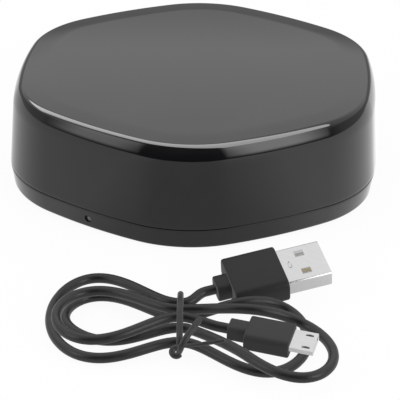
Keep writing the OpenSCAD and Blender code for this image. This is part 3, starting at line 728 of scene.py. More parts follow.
@dataclass(frozen=True)
class Panel:
    """A soft lamp that faces the hub; its distance and size are in metres.

    The azimuth counts to the right of the camera, seen from the hub. Where a panel has a core, these
    are the shares of its width and height that shine in full, and it fades from there to its edges.
    """

    name: str
    azimuth: float
    elevation: float
    distance: float
    size: tuple
    radiance: float
    core: Optional[tuple] = None

    def build(self, lit: Optional[bpy.types.Collection] = None) -> bpy.types.Object:
        """Hang the panel.

        Args:
            lit: the only pieces that the panel lights, where it is flagged off from the rest.

        Returns:
            The lamp.
        """
        data = bpy.data.lights.new(self.name, "AREA")
        data.shape = "RECTANGLE"
        data.size, data.size_y = self.size
        data.energy = self.radiance * math.pi * data.size * data.size_y
        if self.core:
            self.fade(data)
        lamp = bpy.data.objects.new(self.name, data)
        a, e = CABLE_TURN + math.radians(self.azimuth), math.radians(self.elevation)
        spot = self.distance * Vector((math.cos(e) * math.sin(a), -math.cos(e) * math.cos(a), math.sin(e)))
        lamp.matrix_world = facing_origin(spot)
        lamp.visible_camera = False
        if lit:
            lamp.light_linking.receiver_collection = lit
        bpy.context.scene.collection.objects.link(lamp)
        return lamp

    def fade(self, data: bpy.types.Light) -> None:
        """Let the panel's face fade towards its edges, as cloth over a lamp does.

        Args:
            data: the lamp's data, which gets the nodes.
        """
        data.use_nodes = True
        tree = data.node_tree
        spot = add_node(tree, "ShaderNodeNewGeometry").outputs["Parametric"]
        centred = add_node(tree, "ShaderNodeVectorMath", {0: spot, 1: (0.5, 0.5, 0.0)}, operation="SUBTRACT")
        off = add_node(tree, "ShaderNodeVectorMath", {0: centred.outputs["Vector"]}, operation="ABSOLUTE")
        axes = add_node(tree, "ShaderNodeSeparateXYZ", {0: off.outputs["Vector"]})
        across, up = [add_node(tree, "ShaderNodeMapRange", span(axes.outputs[axis], share / 2, 0.5, 1.0, 0.0),
                               interpolation_type="SMOOTHSTEP") for axis, share in zip("XY", self.core)]
        both = add_node(tree, "ShaderNodeMath", {0: across.outputs["Result"], 1: up.outputs["Result"]},
                        operation="MULTIPLY")
        wire(tree, tree.nodes["Emission"], {"Strength": both.outputs["Value"]})


OVERHEAD = Panel("overhead_panel", 0, 90, 0.75, (2.2, 0.8), 6.6)
SIDE_PANELS = (Panel("left_panel", -64, 22, 0.8, (0.5, 0.6), 2.1, (0.2, 0.5)),
               Panel("right_panel", 51, 22, 0.8, (0.56, 0.6), 3.7, (0.2, 0.5)))


@dataclass
class Studio:
    """A pale table in a white room, with an overhead panel and two side panels.

    Each range holds the two ends that it comes from and the two that it goes to. The room's fade and
    the table's painted shade come from the direction to the camera, the horizon from the height, and the
    table's painted light from the direction to the right. Both show only in reflections of the table.
    """

    floor_half: float = 3.0
    floor_drop: float = 0.00005
    lacquer: tuple = ("#f4f4f4", "#f6f6f6")
    cloud: float = 0.06
    lacquer_rough: float = 0.9
    glow_share: float = 0.94
    # Painted shade and painted light on the table, seen only in reflections: its glow dims towards the camera
    # and rises towards the right.
    floor_painted_shade: tuple = (0.72, 0.92, 1.0, 0.72)
    floor_painted_light: tuple = (0.3, 0.75, 1.0, 1.3)
    room_level: float = 0.9
    room_fade: tuple = (-0.05, 0.54, 1.03, 0.06)
    horizon: tuple = (0.32, 0.375, 0.45, 1.0)

    def world(self) -> None:
        """Make the room: white to the camera, white behind and dim in front for reflections."""
        world = bpy.data.worlds.new("room")
        world.use_nodes = True
        tree = world.node_tree
        tree.nodes.clear()
        ray = add_node(tree, "ShaderNodeLightPath")
        way = add_node(tree, "ShaderNodeTexCoord").outputs["Generated"]
        front = add_node(tree, "ShaderNodeVectorMath", {0: way, 1: TO_CAMERA}, operation="DOT_PRODUCT")
        fade = add_node(tree, "ShaderNodeMapRange", span(front.outputs["Value"], *self.room_fade),
                        interpolation_type="SMOOTHSTEP")
        axes = add_node(tree, "ShaderNodeSeparateXYZ", {0: way})
        low = add_node(tree, "ShaderNodeMapRange", span(axes.outputs["Z"], *self.horizon))
        dimmed = add_node(tree, "ShaderNodeMath", {0: fade.outputs["Result"], 1: low.outputs["Result"]},
                          operation="MULTIPLY")
        room = add_node(tree, "ShaderNodeMix", {"Factor": ray.outputs["Is Glossy Ray"],
                                                2: self.room_level, 3: dimmed.outputs["Value"]})
        seen = add_node(tree, "ShaderNodeMath", {0: ray.outputs["Is Camera Ray"],
                                                 1: ray.outputs["Is Transmission Ray"]},
                        operation="MAXIMUM")
        strength = add_node(tree, "ShaderNodeMix", {"Factor": seen.outputs["Value"], 2: room.outputs[0],
                                                    3: 1.0})
        light = add_node(tree, "ShaderNodeBackground", {"Color": linear(WHITE),
                                                        "Strength": strength.outputs[0]})
        add_node(tree, "ShaderNodeOutputWorld", {"Surface": light.outputs["Background"]})
        bpy.context.scene.world = world

    def table_lacquer(self) -> bpy.types.Material:
        """Make white lacquer that glows a little to the camera, so that the table meets the room.

        Returns:
            The material.
        """
        material, shader, place = new_material("white_table_lacquer")
        tree = material.node_tree
        cloud = add_node(tree, "ShaderNodeTexNoise", {"Vector": place, "Scale": 1 / self.cloud,
                                                      "Detail": NOISE_DETAIL})
        blend = add_node(tree, "ShaderNodeMapRange", span(cloud.outputs["Fac"], *PATTERN_BAND, 0.0, 1.0))
        tint = add_node(tree, "ShaderNodeMix", {"Factor": blend.outputs["Result"],
                                                6: linear(self.lacquer[0]), 7: linear(self.lacquer[1])},
                        data_type="RGBA")
        wire(tree, shader, {"Base Color": tint.outputs[2], "Roughness": self.lacquer_rough,
                            "Specular IOR Level": 0.0})
        ray = add_node(tree, "ShaderNodeLightPath")
        seen = add_node(tree, "ShaderNodeMath", {0: ray.outputs["Is Camera Ray"],
                                                 1: ray.outputs["Is Glossy Ray"]}, operation="MAXIMUM")
        either = add_node(tree, "ShaderNodeMath", {0: seen.outputs["Value"],
                                                   1: ray.outputs["Is Transmission Ray"]},
                          operation="MAXIMUM")
        share = add_node(tree, "ShaderNodeMath", {0: either.outputs["Value"], 1: self.glow_share},
                         operation="MULTIPLY")
        way = add_node(tree, "ShaderNodeVectorMath", {0: place}, operation="NORMALIZE").outputs["Vector"]
        front = add_node(tree, "ShaderNodeVectorMath", {0: way, 1: TO_CAMERA}, operation="DOT_PRODUCT")
        # Painted shade and painted light: the glow that reflections see is dimmed in a wedge towards the
        # camera and raised towards the right.
        dim = add_node(tree, "ShaderNodeMapRange", span(front.outputs["Value"], *self.floor_painted_shade))
        right = add_node(tree, "ShaderNodeVectorMath", {0: way, 1: TO_RIGHT}, operation="DOT_PRODUCT")
        lift = add_node(tree, "ShaderNodeMapRange", span(right.outputs["Value"], *self.floor_painted_light))
        shade = add_node(tree, "ShaderNodeMath", {0: dim.outputs["Result"], 1: lift.outputs["Result"]},
                         operation="MULTIPLY")
        strength = add_node(tree, "ShaderNodeMix", {0: ray.outputs["Is Glossy Ray"], 2: 1.0,
                                                    3: shade.outputs["Value"]})
        glow = add_node(tree, "ShaderNodeEmission", {"Color": linear(WHITE),
                                                     "Strength": strength.outputs[0]})
        mixed = add_node(tree, "ShaderNodeMixShader", {0: share.outputs["Value"],
                                                       1: shader.outputs["BSDF"],
                                                       2: glow.outputs["Emission"]})
        wire(tree, tree.nodes["Material Output"], {"Surface": mixed.outputs["Shader"]})
        return material

    def floor(self) -> bpy.types.Object:
        """Make the table top.

        Returns:
            The table top.
        """
        mesh = bmesh.new()
        bmesh.ops.create_grid(mesh, x_segments=1, y_segments=1, size=self.floor_half)
        bmesh.ops.translate(mesh, verts=mesh.verts, vec=(0, 0, -self.floor_drop))
        floor = new_piece("table_top", mesh)
        floor.data.materials.append(self.table_lacquer())
        return floor

    def build(self, shells: Sequence[bpy.types.Object]) -> list[bpy.types.Object]:
        """Make the floor, the room and the panels.

        Args:
            shells: the glossy shells, which alone get the overhead panel's light.

        Returns:
            The floor and the lamps.
        """
        lit = bpy.data.collections.new("overhead_lit")
        for shell in shells:
            lit.objects.link(shell)
        floor = self.floor()
        self.world()
        return [floor, OVERHEAD.build(lit), *[panel.build() for panel in SIDE_PANELS]]


# ---- the hub


@dataclass
class HubShape:
    """The hub's rounded outline and its heights, in millimetres, as in the part's source."""

    sides: int = 6
    corner_circle: float = 23.0
    corner: float = 32.0
    side_half: float = math.radians(6.53)
    height: float = 30.2
    seam: float = 6.5
    wall: float = 2.0
    roof: float = 2.0
    lean_share: float = 0.064
    stand: float = 0.6
    floor: float = 1.6
    tray_wall: float = 2.6
    button_z: float = 3.5
    spot_radius: float = 43.0
    feet: int = 6
    screws: int = 3

    @property
    def side(self) -> float:
        """Give the radius of a bulged side."""
        return self.corner + self.corner_circle * math.sin(math.pi / self.sides) / math.sin(self.side_half)

    @property
    def apothem(self) -> float:
        """Give the distance from the centre to the middle of a side at the seam."""
        return (self.corner_circle * math.cos(math.pi / self.sides) + self.side
                - (self.side - self.corner) * math.cos(self.side_half))

    def lean(self, z: float) -> float:
        """Give how far the wall has leant in at a height."""
        return self.lean_share * (z - self.seam)

    def ring(self, z: float, inset: float, corner_steps: int = 30, side_steps: int = 14) -> list[Vector]:
        """Give the outline at a height, moved in.

        Args:
            z: height in millimetres.
            inset: distance in from the outline at the seam.
            corner_steps: steps of each corner arc.
            side_steps: steps of each side arc.

        Returns:
            The points in metres, turning left.
        """
        half = math.pi / self.sides - self.side_half
        points = []
        for k in range(self.sides):
            turn = math.tau * k / self.sides
            middle = on_circle(self.corner_circle, turn)
            points += [middle + on_circle(self.corner - inset, turn + half * (2 * i / corner_steps - 1))
                       for i in range(corner_steps + 1)]
            far = middle + on_circle(self.corner - self.side, turn + half)
            points += [far + on_circle(self.side - inset, turn + math.pi / self.sides
                                       + self.side_half * (2 * i / side_steps - 1))
                       for i in range(1, side_steps)]
        return [Vector((p.x, p.y, z)) * MM for p in points]

    def spots(self, count: int) -> list[Vector]:
        """Give evenly spaced places on the circle of the feet, in metres."""
        return [on_circle(self.spot_radius * MM, math.tau * k / count) for k in range(count)]


@dataclass
class Cover:
    """The gloss upper shell, with its rounded top edge, its bosses and the notch for the plug.

    The top edge is a gentle bend out of the wall and then a tight one, which meet where the surface
    has turned by the change. From there the top rises by the crown, over the crown's reach.
    """

    shape: HubShape
    rim_round: float = 0.18
    rim_steps: int = 3
    wall_marks: tuple = (1, 6, 12)
    wall_end: float = 1
    inner_chamfer: float = 0.1
    roof_corner: tuple = (1.6, 1.4)
    tight: float = 1.8
    gentle: float = 11.0
    change: float = math.radians(30)
    edge_steps: int = 14
    crown: float = 0.22
    crown_reach: float = 6.0
    crown_power: float = 1.3
    crown_steps: int = 8
    boss: float = 3.2
    boss_low: float = 4.6
    boss_sides: int = 40
    pilot: float = 1.2
    pilot_top: float = 14.3
    pilot_sides: int = 32
    notch_width: float = 10.4
    notch_high: float = 5.4
    notch_corner: float = 1.2
    notch_steps: int = 8
    notch_inside: float = 1.5
    overrun: float = 1

    def build(self) -> bpy.types.Object:
        """Make the shell.

        Returns:
            The cover.
        """
        s, r = self.shape, self.rim_round
        edge = self.edge()
        edge_z, roof_z = edge[0][0], s.height - s.roof
        across, down = self.roof_corner
        levels = [(roof_z, s.wall + s.lean(roof_z) + across), (roof_z - down, s.wall + s.lean(roof_z)),
                  (s.seam + self.inner_chamfer, s.wall), (s.seam, s.wall - self.inner_chamfer), (s.seam, r)]
        for i in range(1, self.rim_steps + 1):
            a = math.pi / 2 * i / self.rim_steps
            levels.append((s.seam + r * (1 - math.cos(a)), r * (1 - math.sin(a))))
        heights = [s.seam + mark for mark in self.wall_marks] + [edge_z - self.wall_end]
        levels += [(z, s.lean(z)) for z in heights]
        levels += edge
        for i in range(1, self.crown_steps + 1):
            u = i / self.crown_steps
            levels.append((s.height - self.crown * (1 - u) ** self.crown_power,
                           edge[-1][1] + self.crown_reach * u))
        mesh = bmesh.new()
        skin(mesh, [s.ring(z, inset) for z, inset in levels])
        tidy_shell(mesh)
        cover = new_piece("cover_shell", mesh)
        combine(cover, self.notch_shape(), Join.TAKE)
        self.add_bosses(cover)
        cover.data.materials.append(POLISHED_ABS.build())
        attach(cover, Body.HUB.value)
        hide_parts("top_cover")
        return cover

    def edge(self) -> list[tuple[float, float]]:
        """Give the top edge's profile: a gentle bend out of the wall, then a tight one to the top.

        Returns:
            Heights and insets from the wall up, in millimetres.
        """
        s, turn = self.shape, self.change
        low = math.atan(s.lean_share)
        profile = []
        for i in range(self.edge_steps + 1):
            a = low + (turn - low) * i / self.edge_steps
            profile.append((self.tight * (1 - math.sin(turn)) + self.gentle * (math.sin(turn) - math.sin(a)),
                            self.tight * math.cos(turn) + self.gentle * (math.cos(a) - math.cos(turn))))
        for i in range(1, self.edge_steps + 1):
            a = turn + (math.pi / 2 - turn) * i / self.edge_steps
            profile.append((self.tight * (1 - math.sin(a)), self.tight * math.cos(a)))
        top = s.height - self.crown
        lean = s.lean(top - profile[0][0])
        return [(top - down, lean + profile[0][1] - out) for down, out in profile]

    def notch_shape(self) -> bmesh.types.BMesh:
        """Give what the notch at the back takes away.

        Returns:
            The shape.
        """
        s, width, corner = self.shape, self.notch_width, self.notch_corner
        quarter = [math.pi / 2 * k / self.notch_steps for k in range(self.notch_steps + 1)]
        top, bottom = s.seam + self.notch_high, s.seam - self.overrun
        points = [(-width / 2, bottom), (width / 2, bottom)]
        points += [(width / 2 - corner + corner * math.cos(a), top - corner + corner * math.sin(a))
                   for a in quarter]
        points += [(corner - width / 2 - corner * math.sin(a), top - corner + corner * math.cos(a))
                   for a in quarter]
        mesh = bmesh.new()
        skin(mesh, [[Vector((x, y, z)) * MM for x, z in points]
                    for y in (s.apothem - s.wall - self.notch_inside, s.apothem + self.overrun)])
        tidy_shell(mesh)
        return mesh

    def add_bosses(self, cover: bpy.types.Object) -> None:
        """Stand the screw bosses under the roof, each with its pilot hole.

        Args:
            cover: the shell that gets them.
        """
        bosses, pilots = bmesh.new(), bmesh.new()
        roof_mid = self.shape.height - self.shape.roof / 2
        for spot in self.shape.spots(self.shape.screws):
            add_disc(bosses, self.boss, spot + lifted(self.boss_low), spot + lifted(roof_mid),
                     self.boss_sides)
            add_disc(pilots, self.pilot, spot + lifted(self.boss_low - self.overrun),
                     spot + lifted(self.pilot_top), self.pilot_sides)
        combine(cover, bosses, Join.ADD)
        combine(cover, pilots, Join.TAKE)


@dataclass
class Tray:
    """The lower shell: floor, wall with its shadow groove, lip, posts, foot beds and button hole.

    The groove's edge holds, from the wall up, how far each level lies below it and how far in.
    """

    shape: HubShape
    foot_in: float = 0.75
    foot_round: float = 0.95
    round_steps: int = 5
    wall_marks: tuple = (2.6, 3.6, 4.6, 5.6)
    groove: float = 0.12
    groove_deep: float = 0.4
    groove_edge: tuple = ((0.12, 0.02), (0.03, 0.06), (0.0, 0.16))
    lip_high: float = 2.0
    lip_thick: float = 1.2
    lip_gap: float = 0.25
    lip_root: float = 1.7
    lip_chamfer: float = 0.3
    foot_bed: float = 4.7
    foot_bed_top: float = 1.2
    boss: float = 4.2
    boss_top: float = 4.6
    head_hole: float = 2.3
    head_seat: float = 2.95
    shank_hole: float = 1.3
    posts: int = 4
    post_circle: float = 32.0
    post: float = 2.6
    post_top: float = 6.2
    post_bore: float = 0.95
    bore_low: float = 3.55
    bore_sides: int = 32
    button_hole: float = 1.05
    button_hole_sides: int = 64
    label: tuple = (36.4, 20.4)
    label_bed: float = 0.2
    gap_widths: tuple = (15.0, 12.0)
    gap_depth: float = 5
    gap_below: float = 0.5
    gap_skim: tuple = (1, 0.6)
    gap_bite: float = 0.01
    overrun: float = 1

    def build(self) -> bpy.types.Object:
        """Make the shell.

        Returns:
            The tray.
        """
        s = self.shape
        mesh = bmesh.new()
        skin(mesh, [s.ring(z, inset) for z, inset in self.levels()])
        tidy_shell(mesh)
        tray = new_piece("tray_shell", mesh)
        self.add_posts(tray)
        combine(tray, self.openings(), Join.TAKE)
        tray.data.materials.append(POLISHED_ABS.build())
        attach(tray, Body.HUB.value)
        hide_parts("base_tray")
        return tray

    def levels(self) -> list[tuple[float, float]]:
        """Give the shell's profile from its underside round to its inner floor.

        Returns:
            Heights and insets, in millimetres.
        """
        s = self.shape
        top, lip_top, root_z = s.seam - self.groove, s.seam + self.lip_high, s.seam - self.lip_root
        levels = []
        for i in range(self.round_steps + 1):
            a = math.pi / 2 * i / self.round_steps
            levels.append((s.stand + self.foot_round * (1 - math.cos(a)),
                           self.foot_in + self.foot_round * (1 - math.sin(a))))
        slope = top - s.stand - self.foot_round
        levels += [(z, self.foot_in * (top - z) / slope) for z in self.wall_marks]
        levels += [(top - down, inset) for down, inset in self.groove_edge]
        outer = s.wall + self.lip_gap
        lean = s.lean(lip_top)
        levels += [(top, self.groove_deep), (s.seam, self.groove_deep), (s.seam, outer),
                   (lip_top - self.lip_chamfer, outer + lean), (lip_top, outer + lean + self.lip_chamfer),
                   (lip_top, outer + self.lip_thick + lean), (root_z, outer + self.lip_thick),
                   (root_z, s.tray_wall), (s.stand + s.floor, s.tray_wall)]
        return levels

    def post_spots(self) -> list[Vector]:
        """Give the places of the board's posts, in metres."""
        return [on_circle(self.post_circle * MM, math.pi / 4 + math.tau * k / self.posts)
                for k in range(self.posts)]

    def add_posts(self, tray: bpy.types.Object) -> None:
        """Join the board posts and the screw bosses to the floor.

        Args:
            tray: the shell that gets them.
        """
        s = self.shape
        mesh = bmesh.new()
        floor_mid = lifted(s.stand + s.floor / 2)
        for spots, radius, top in ((self.post_spots(), self.post, self.post_top),
                                   (s.spots(s.screws), self.boss, self.boss_top)):
            for spot in spots:
                add_disc(mesh, radius, spot + floor_mid, spot + lifted(top))
        combine(tray, mesh, Join.ADD)

    def openings(self) -> bmesh.types.BMesh:
        """Give everything that is taken out of the tray.

        Returns:
            The shapes.
        """
        s = self.shape
        mesh = bmesh.new()
        for spot in s.spots(s.feet):
            add_disc(mesh, self.foot_bed, spot + lifted(-self.overrun), spot + lifted(self.foot_bed_top))
        for spot in s.spots(s.screws):
            add_disc(mesh, self.head_hole, spot + lifted(self.foot_bed_top / 2),
                     spot + lifted(self.head_seat))
            add_disc(mesh, self.shank_hole, spot + lifted(self.head_seat / 2),
                     spot + lifted(self.boss_top + self.overrun), self.bore_sides)
        for spot in self.post_spots():
            add_disc(mesh, self.post_bore, spot + lifted(self.bore_low),
                     spot + lifted(self.post_top + self.overrun), self.bore_sides)
        add_disc(mesh, self.button_hole, Vector((0, -(s.apothem + self.overrun) * MM, s.button_z * MM)),
                 Vector((0, -(s.apothem - s.tray_wall - self.overrun) * MM, s.button_z * MM)),
                 self.button_hole_sides)
        width, depth = self.label
        add_box(mesh, Vector((-width / 2, -depth / 2, s.stand - self.overrun)) * MM,
                Vector((width / 2, depth / 2, s.stand + self.label_bed)) * MM)
        self.add_gaps(mesh)
        return mesh

    def add_gaps(self, mesh: bmesh.types.BMesh) -> None:
        """Add the two gaps in the lip, at the port and at the button.

        Args:
            mesh: the mesh that gets their shapes.
        """
        s = self.shape
        inside = s.apothem - s.tray_wall + self.gap_bite
        low, high = s.seam - self.lip_root - self.gap_below, s.seam + self.lip_high + self.overrun
        for width, side in zip(self.gap_widths, (1, -1)):
            for near, far, bottom in ((inside - self.gap_depth, inside, low),
                                      (inside - self.gap_skim[0], inside + self.gap_skim[1], s.seam)):
                ends = sorted((side * near, side * far))
                add_box(mesh, Vector((-width / 2, ends[0], bottom)) * MM,
                        Vector((width / 2, ends[1], high)) * MM)


@dataclass
class Feet:
    """Six soft feet in the beds of the tray."""

    shape: HubShape
    radius: float = 4.5
    thick: float = 1.2
    edge: float = 0.35
    edge_steps: int = 4
    sides: int = 48

    def build(self) -> bpy.types.Object:
        """Make the feet.

        Returns:
            One object with all six.
        """
        e = self.edge
        profile = [(0, 0), (self.radius - e, 0)]
        for i in range(1, self.edge_steps + 1):
            a = math.pi / 2 * i / self.edge_steps
            profile.append((self.radius - e + e * math.sin(a), e - e * math.cos(a)))
        profile += [(self.radius, self.thick), (0, self.thick)]
        mesh = bmesh.new()
        for spot in self.shape.spots(self.shape.feet):
            turned(mesh, [(r * MM, z * MM) for r, z in profile], spot, self.sides)
        tidy_shell(mesh, SMALL_GAP)
        feet = new_piece("soft_feet", mesh)
        feet.data.materials.append(NITRILE.build())
        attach(feet, Body.HUB.value)
        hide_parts("rubber_feet")
        return feet


@dataclass
class Button:
    """The recessed reset button with its rounded face and its retaining flange."""

    shape: HubShape
    radius: float = 0.98
    flange: float = 1.25
    flange_thick: float = 0.68
    edge: float = 0.12
    edge_share: float = 0.3

    def build(self) -> bpy.types.Object:
        """Make the button.

        Returns:
            The button.
        """
        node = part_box("reset_button")
        face, back = -node[0][1], -node[1][1]
        r, e, f = self.radius * MM, self.edge * MM, self.flange * MM
        step = back + self.flange_thick * MM
        profile = [(0, face), (r - e, face), (r - self.edge_share * e, face - self.edge_share * e),
                   (r, face - e), (r, step), (f, step), (f, back), (0, back)]
        mesh = bmesh.new()
        turned(mesh, profile, Vector((0, 0, 0)))
        tidy_shell(mesh, FINE_GAP)
        bmesh.ops.rotate(mesh, verts=mesh.verts, cent=(0, 0, 0), matrix=Matrix.Rotation(math.pi / 2, 3, "X"))
        bmesh.ops.translate(mesh, verts=mesh.verts, vec=lifted(self.shape.button_z))
        button = new_piece("reset_key", mesh)
        button.data.materials.append(ACETAL.build())
        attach(button, Body.BUTTON.value)
        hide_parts("reset_button")
        return button


# ---- the plugs and the tie


# Steps of a bar's rounded ends, the least radius of its corners there, in millimetres, and the share
# of a bevel that softens a sleeve's tip.
END_STEPS = 5
LEAST_CORNER = 0.05
SOFT_SHARE = 0.3


@dataclass(frozen=True)
class Bar:
    """A length of a plug: its section, the rounding of its long corners and of its ends."""

    length: float
    width: float
    thick: float
    corner: float
    edge: float


def moulded(name: str, pose: PlugPose, start: float, bar: Bar, finish: Finish,
            tuck: float = 0.0) -> bpy.types.Object:
    """Make a neck or a grip along a plug's axis, with rounded corners and rounded ends.

    Args:
        name: name of the piece.
        pose: where the plug lies.
        start: where the bar starts, in millimetres from the cord's end.
        bar: its sizes.
        finish: its material.
        tuck: how much further it runs into what follows.

    Returns:
        The piece.
    """
    length = bar.length + tuck
    marks = []
    for i in range(END_STEPS + 1):
        a = math.pi / 2 * i / END_STEPS
        marks.append((start + bar.edge * (1 - math.cos(a)), bar.edge * (1 - math.sin(a))))
    marks += [(start + length - (x - start), inset) for x, inset in reversed(marks)]
    place = pose.matrix()
    rings = []
    for x, inset in marks:
        section = round_rect(bar.width - 2 * inset, bar.thick - 2 * inset,
                             max(bar.corner - inset, LEAST_CORNER))
        rings.append([place @ (Vector((x, y, z)) * MM) for y, z in section])
    mesh = bmesh.new()
    skin(mesh, rings)
    tidy_shell(mesh, FINE_GAP)
    piece = new_piece(name, mesh)
    piece.data.materials.append(finish.build())
    return piece


def sleeve(mesh: bmesh.types.BMesh, pose: PlugPose, start: float, length: float,
           outer: Callable[[float], list], inner: Callable[[float], list], bevel: float) -> None:
    """Add an open metal sleeve along a plug's axis, with a softened tip.

    Args:
        mesh: the mesh that gets the sleeve.
        pose: where the plug lies.
        start: where it starts, in millimetres from the cord's end.
        length: its length.
        outer: outer section by inset.
        inner: inner section by inset.
        bevel: softening of the tip.
    """
    place = pose.matrix()
    end = start + length
    soft = SOFT_SHARE * bevel
    stations = [(start, outer(0)), (end - bevel, outer(0)), (end - soft, outer(soft)),
                (end, outer(bevel)), (end, inner(-soft)), (end - bevel / 2, inner(0)),
                (start, inner(0))]
    skin(mesh, [[place @ (Vector((x, y, z)) * MM) for y, z in section] for x, section in stations],
         closed=True)
    bmesh.ops.recalc_face_normals(mesh, faces=mesh.faces)


@dataclass
class LargePlug:
    """The large flat plug: neck, grip and folded metal shell with its windows and dimple.

    The windows lie to each side by their offset and end short of the tip by their setback. The fold's
    seam runs along the underside.
    """

    pose: PlugPose
    neck: Bar = Bar(3.5, 6.5, 5.0, 2.0, 0.4)
    grip: Bar = Bar(14.0, 15.0, 7.0, 2.2, 0.55)
    shell: Bar = Bar(11.5, 12.0, 4.5, 0.6, 0.18)
    tuck: float = 0.4
    shell_tuck: float = 1.0
    sheet: float = 0.3
    window: tuple = (2.5, 2.0, 0.8)
    window_off: float = 3.1
    window_back: float = 5.85
    seam_half: float = 0.04
    seam_deep: float = 0.12
    seam_over: float = 0.2
    seam_past: tuple = (1.2, 0.5)
    dimple: tuple = (1.15, 2.7)
    dimple_at: float = 2.2
    dimple_over: float = 0.25
    dimple_deep: float = 0.27
    dimple_steps: tuple = (24, 12)

    def build(self) -> list[bpy.types.Object]:
        """Make the plug's pieces.

        Returns:
            The pieces.
        """
        neck = moulded("large_plug_neck", self.pose, 0, self.neck, MOULDED_PVC, self.tuck)
        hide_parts("usb_a_neck")
        grip = moulded("large_plug_grip", self.pose, self.neck.length, self.grip, MOULDED_PVC)
        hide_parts("usb_a_grip")
        shell = self.build_shell()
        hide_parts("usb_a_shell")
        for piece in (neck, grip, shell):
            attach(piece, Body.HUB.value)
        return [neck, grip, shell]

    def section(self, inset: float, extra: float = 0.0) -> list[tuple[float, float]]:
        """Give the shell's section, moved in by an inset and by a sheet's thickness."""
        return round_rect(self.shell.width - 2 * extra - 2 * inset,
                          self.shell.thick - 2 * extra - 2 * inset, self.shell.corner - extra)

    def build_shell(self) -> bpy.types.Object:
        """Make the folded shell.

        Returns:
            The shell.
        """
        start = self.neck.length + self.grip.length
        mesh = bmesh.new()
        sleeve(mesh, self.pose, start - self.shell_tuck, self.shell.length + self.shell_tuck,
               self.section, lambda inset: self.section(inset, self.sheet), self.shell.edge)
        shell = new_piece("large_plug_shell", mesh)
        combine(shell, self.cuts(start), Join.TAKE)
        combine(shell, self.dimple_shape(start), Join.TAKE)
        shell.data.materials.append(NICKEL.build())
        return shell

    def cuts(self, start: float) -> bmesh.types.BMesh:
        """Give what the four windows and the seam take away.

        Args:
            start: where the shell leaves the grip, in millimetres from the cord's end.

        Returns:
            The shapes.
        """
        mesh = bmesh.new()
        place = self.pose.matrix()
        tip = start + self.shell.length
        under = -self.shell.thick / 2
        long, wide, deep = self.window
        half = Vector((long / 2, wide / 2, deep))
        for side in (-1, 1):
            for face in (-1, 1):
                middle = Vector((tip - self.window_back, side * self.window_off,
                                 face * self.shell.thick / 2))
                add_box(mesh, (middle - half) * MM, (middle + half) * MM, place)
        add_box(mesh, Vector((start - self.seam_past[0], -self.seam_half, under - self.seam_over)) * MM,
                Vector((tip + self.seam_past[1], self.seam_half, under + self.seam_deep)) * MM, place)
        return mesh

    def dimple_shape(self, start: float) -> bmesh.types.BMesh:
        """Give the flat ball that presses the dimple into the upper face.

        Args:
            start: where the shell leaves the grip, in millimetres from the cord's end.

        Returns:
            The shape.
        """
        long, wide = self.dimple
        high = self.dimple_over + self.dimple_deep
        middle = Vector((start + self.dimple_at, 0, self.shell.thick / 2 + self.dimple_over)) * MM
        size = Matrix.Diagonal((long / 2 * MM, wide / 2 * MM, high * MM, 1.0))
        around, up = self.dimple_steps
        mesh = bmesh.new()
        bmesh.ops.create_uvsphere(mesh, u_segments=around, v_segments=up, radius=1.0,
                                  matrix=self.pose.matrix() @ Matrix.Translation(middle) @ size)
        return mesh


@dataclass
class SmallPlug:
    """The small plug: neck, grip and bevelled shell with two latch slots.

    The slots lie to each side by their offset and end short of the tip by their setback.
    """

    pose: PlugPose
    neck: Bar = Bar(4.6, 5.0, 4.4, 1.5, 0.3)
    grip: Bar = Bar(11.2, 9.0, 5.0, 1.6, 0.45)
    shell: Bar = Bar(5.8, 6.85, 1.8, 0.65, 0.14)
    tuck: float = 0.4
    shell_tuck: float = 1.0
    sheet: float = 0.25
    slot: tuple = (2.04, 0.74, 1.5)
    slot_off: float = 2.2
    slot_back: float = 0.98
    slot_low: float = 0.3

    def section(self, inset: float, extra: float = 0.0) -> list[tuple[float, float]]:
        """Give the shell's section, with its two lower corners bevelled.

        Args:
            inset: distance in from the outside.
            extra: thickness of the sheet, for the inner section.

        Returns:
            Points (across, up), turning left.
        """
        w = self.shell.width / 2 - inset - extra
        t = self.shell.thick / 2 - inset - extra
        bevel = self.shell.corner - extra / 2
        return [(w, t), (-w, t), (-w, bevel - t), (bevel - w, -t), (w - bevel, -t), (w, bevel - t)]

    def build(self) -> list[bpy.types.Object]:
        """Make the plug's pieces.

        Returns:
            The pieces.
        """
        neck = moulded("small_plug_neck", self.pose, 0, self.neck, MATTE_PVC, self.tuck)
        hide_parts("micro_plug_neck")
        grip = moulded("small_plug_grip", self.pose, self.neck.length, self.grip, MATTE_PVC)
        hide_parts("micro_plug_grip")
        shell = self.build_shell()
        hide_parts("micro_plug_shell")
        for piece in (neck, grip, shell):
            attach(piece, Body.HUB.value)
        return [neck, grip, shell]

    def build_shell(self) -> bpy.types.Object:
        """Make the bevelled shell.

        Returns:
            The shell.
        """
        start = self.neck.length + self.grip.length
        mesh = bmesh.new()
        sleeve(mesh, self.pose, start - self.shell_tuck, self.shell.length + self.shell_tuck, self.section,
               lambda inset: self.section(inset, self.sheet), self.shell.edge)
        shell = new_piece("small_plug_shell", mesh)
        cutter = bmesh.new()
        tip = start + self.shell.length
        long, wide, _ = self.slot
        for side in (-1, 1):
            low = Vector((tip - self.slot_back - long, side * self.slot_off - wide / 2, self.slot_low))
            add_box(cutter, low * MM, (low + Vector(self.slot)) * MM, self.pose.matrix())
        combine(shell, cutter, Join.TAKE)
        shell.data.materials.append(NICKEL.build())
        return shell


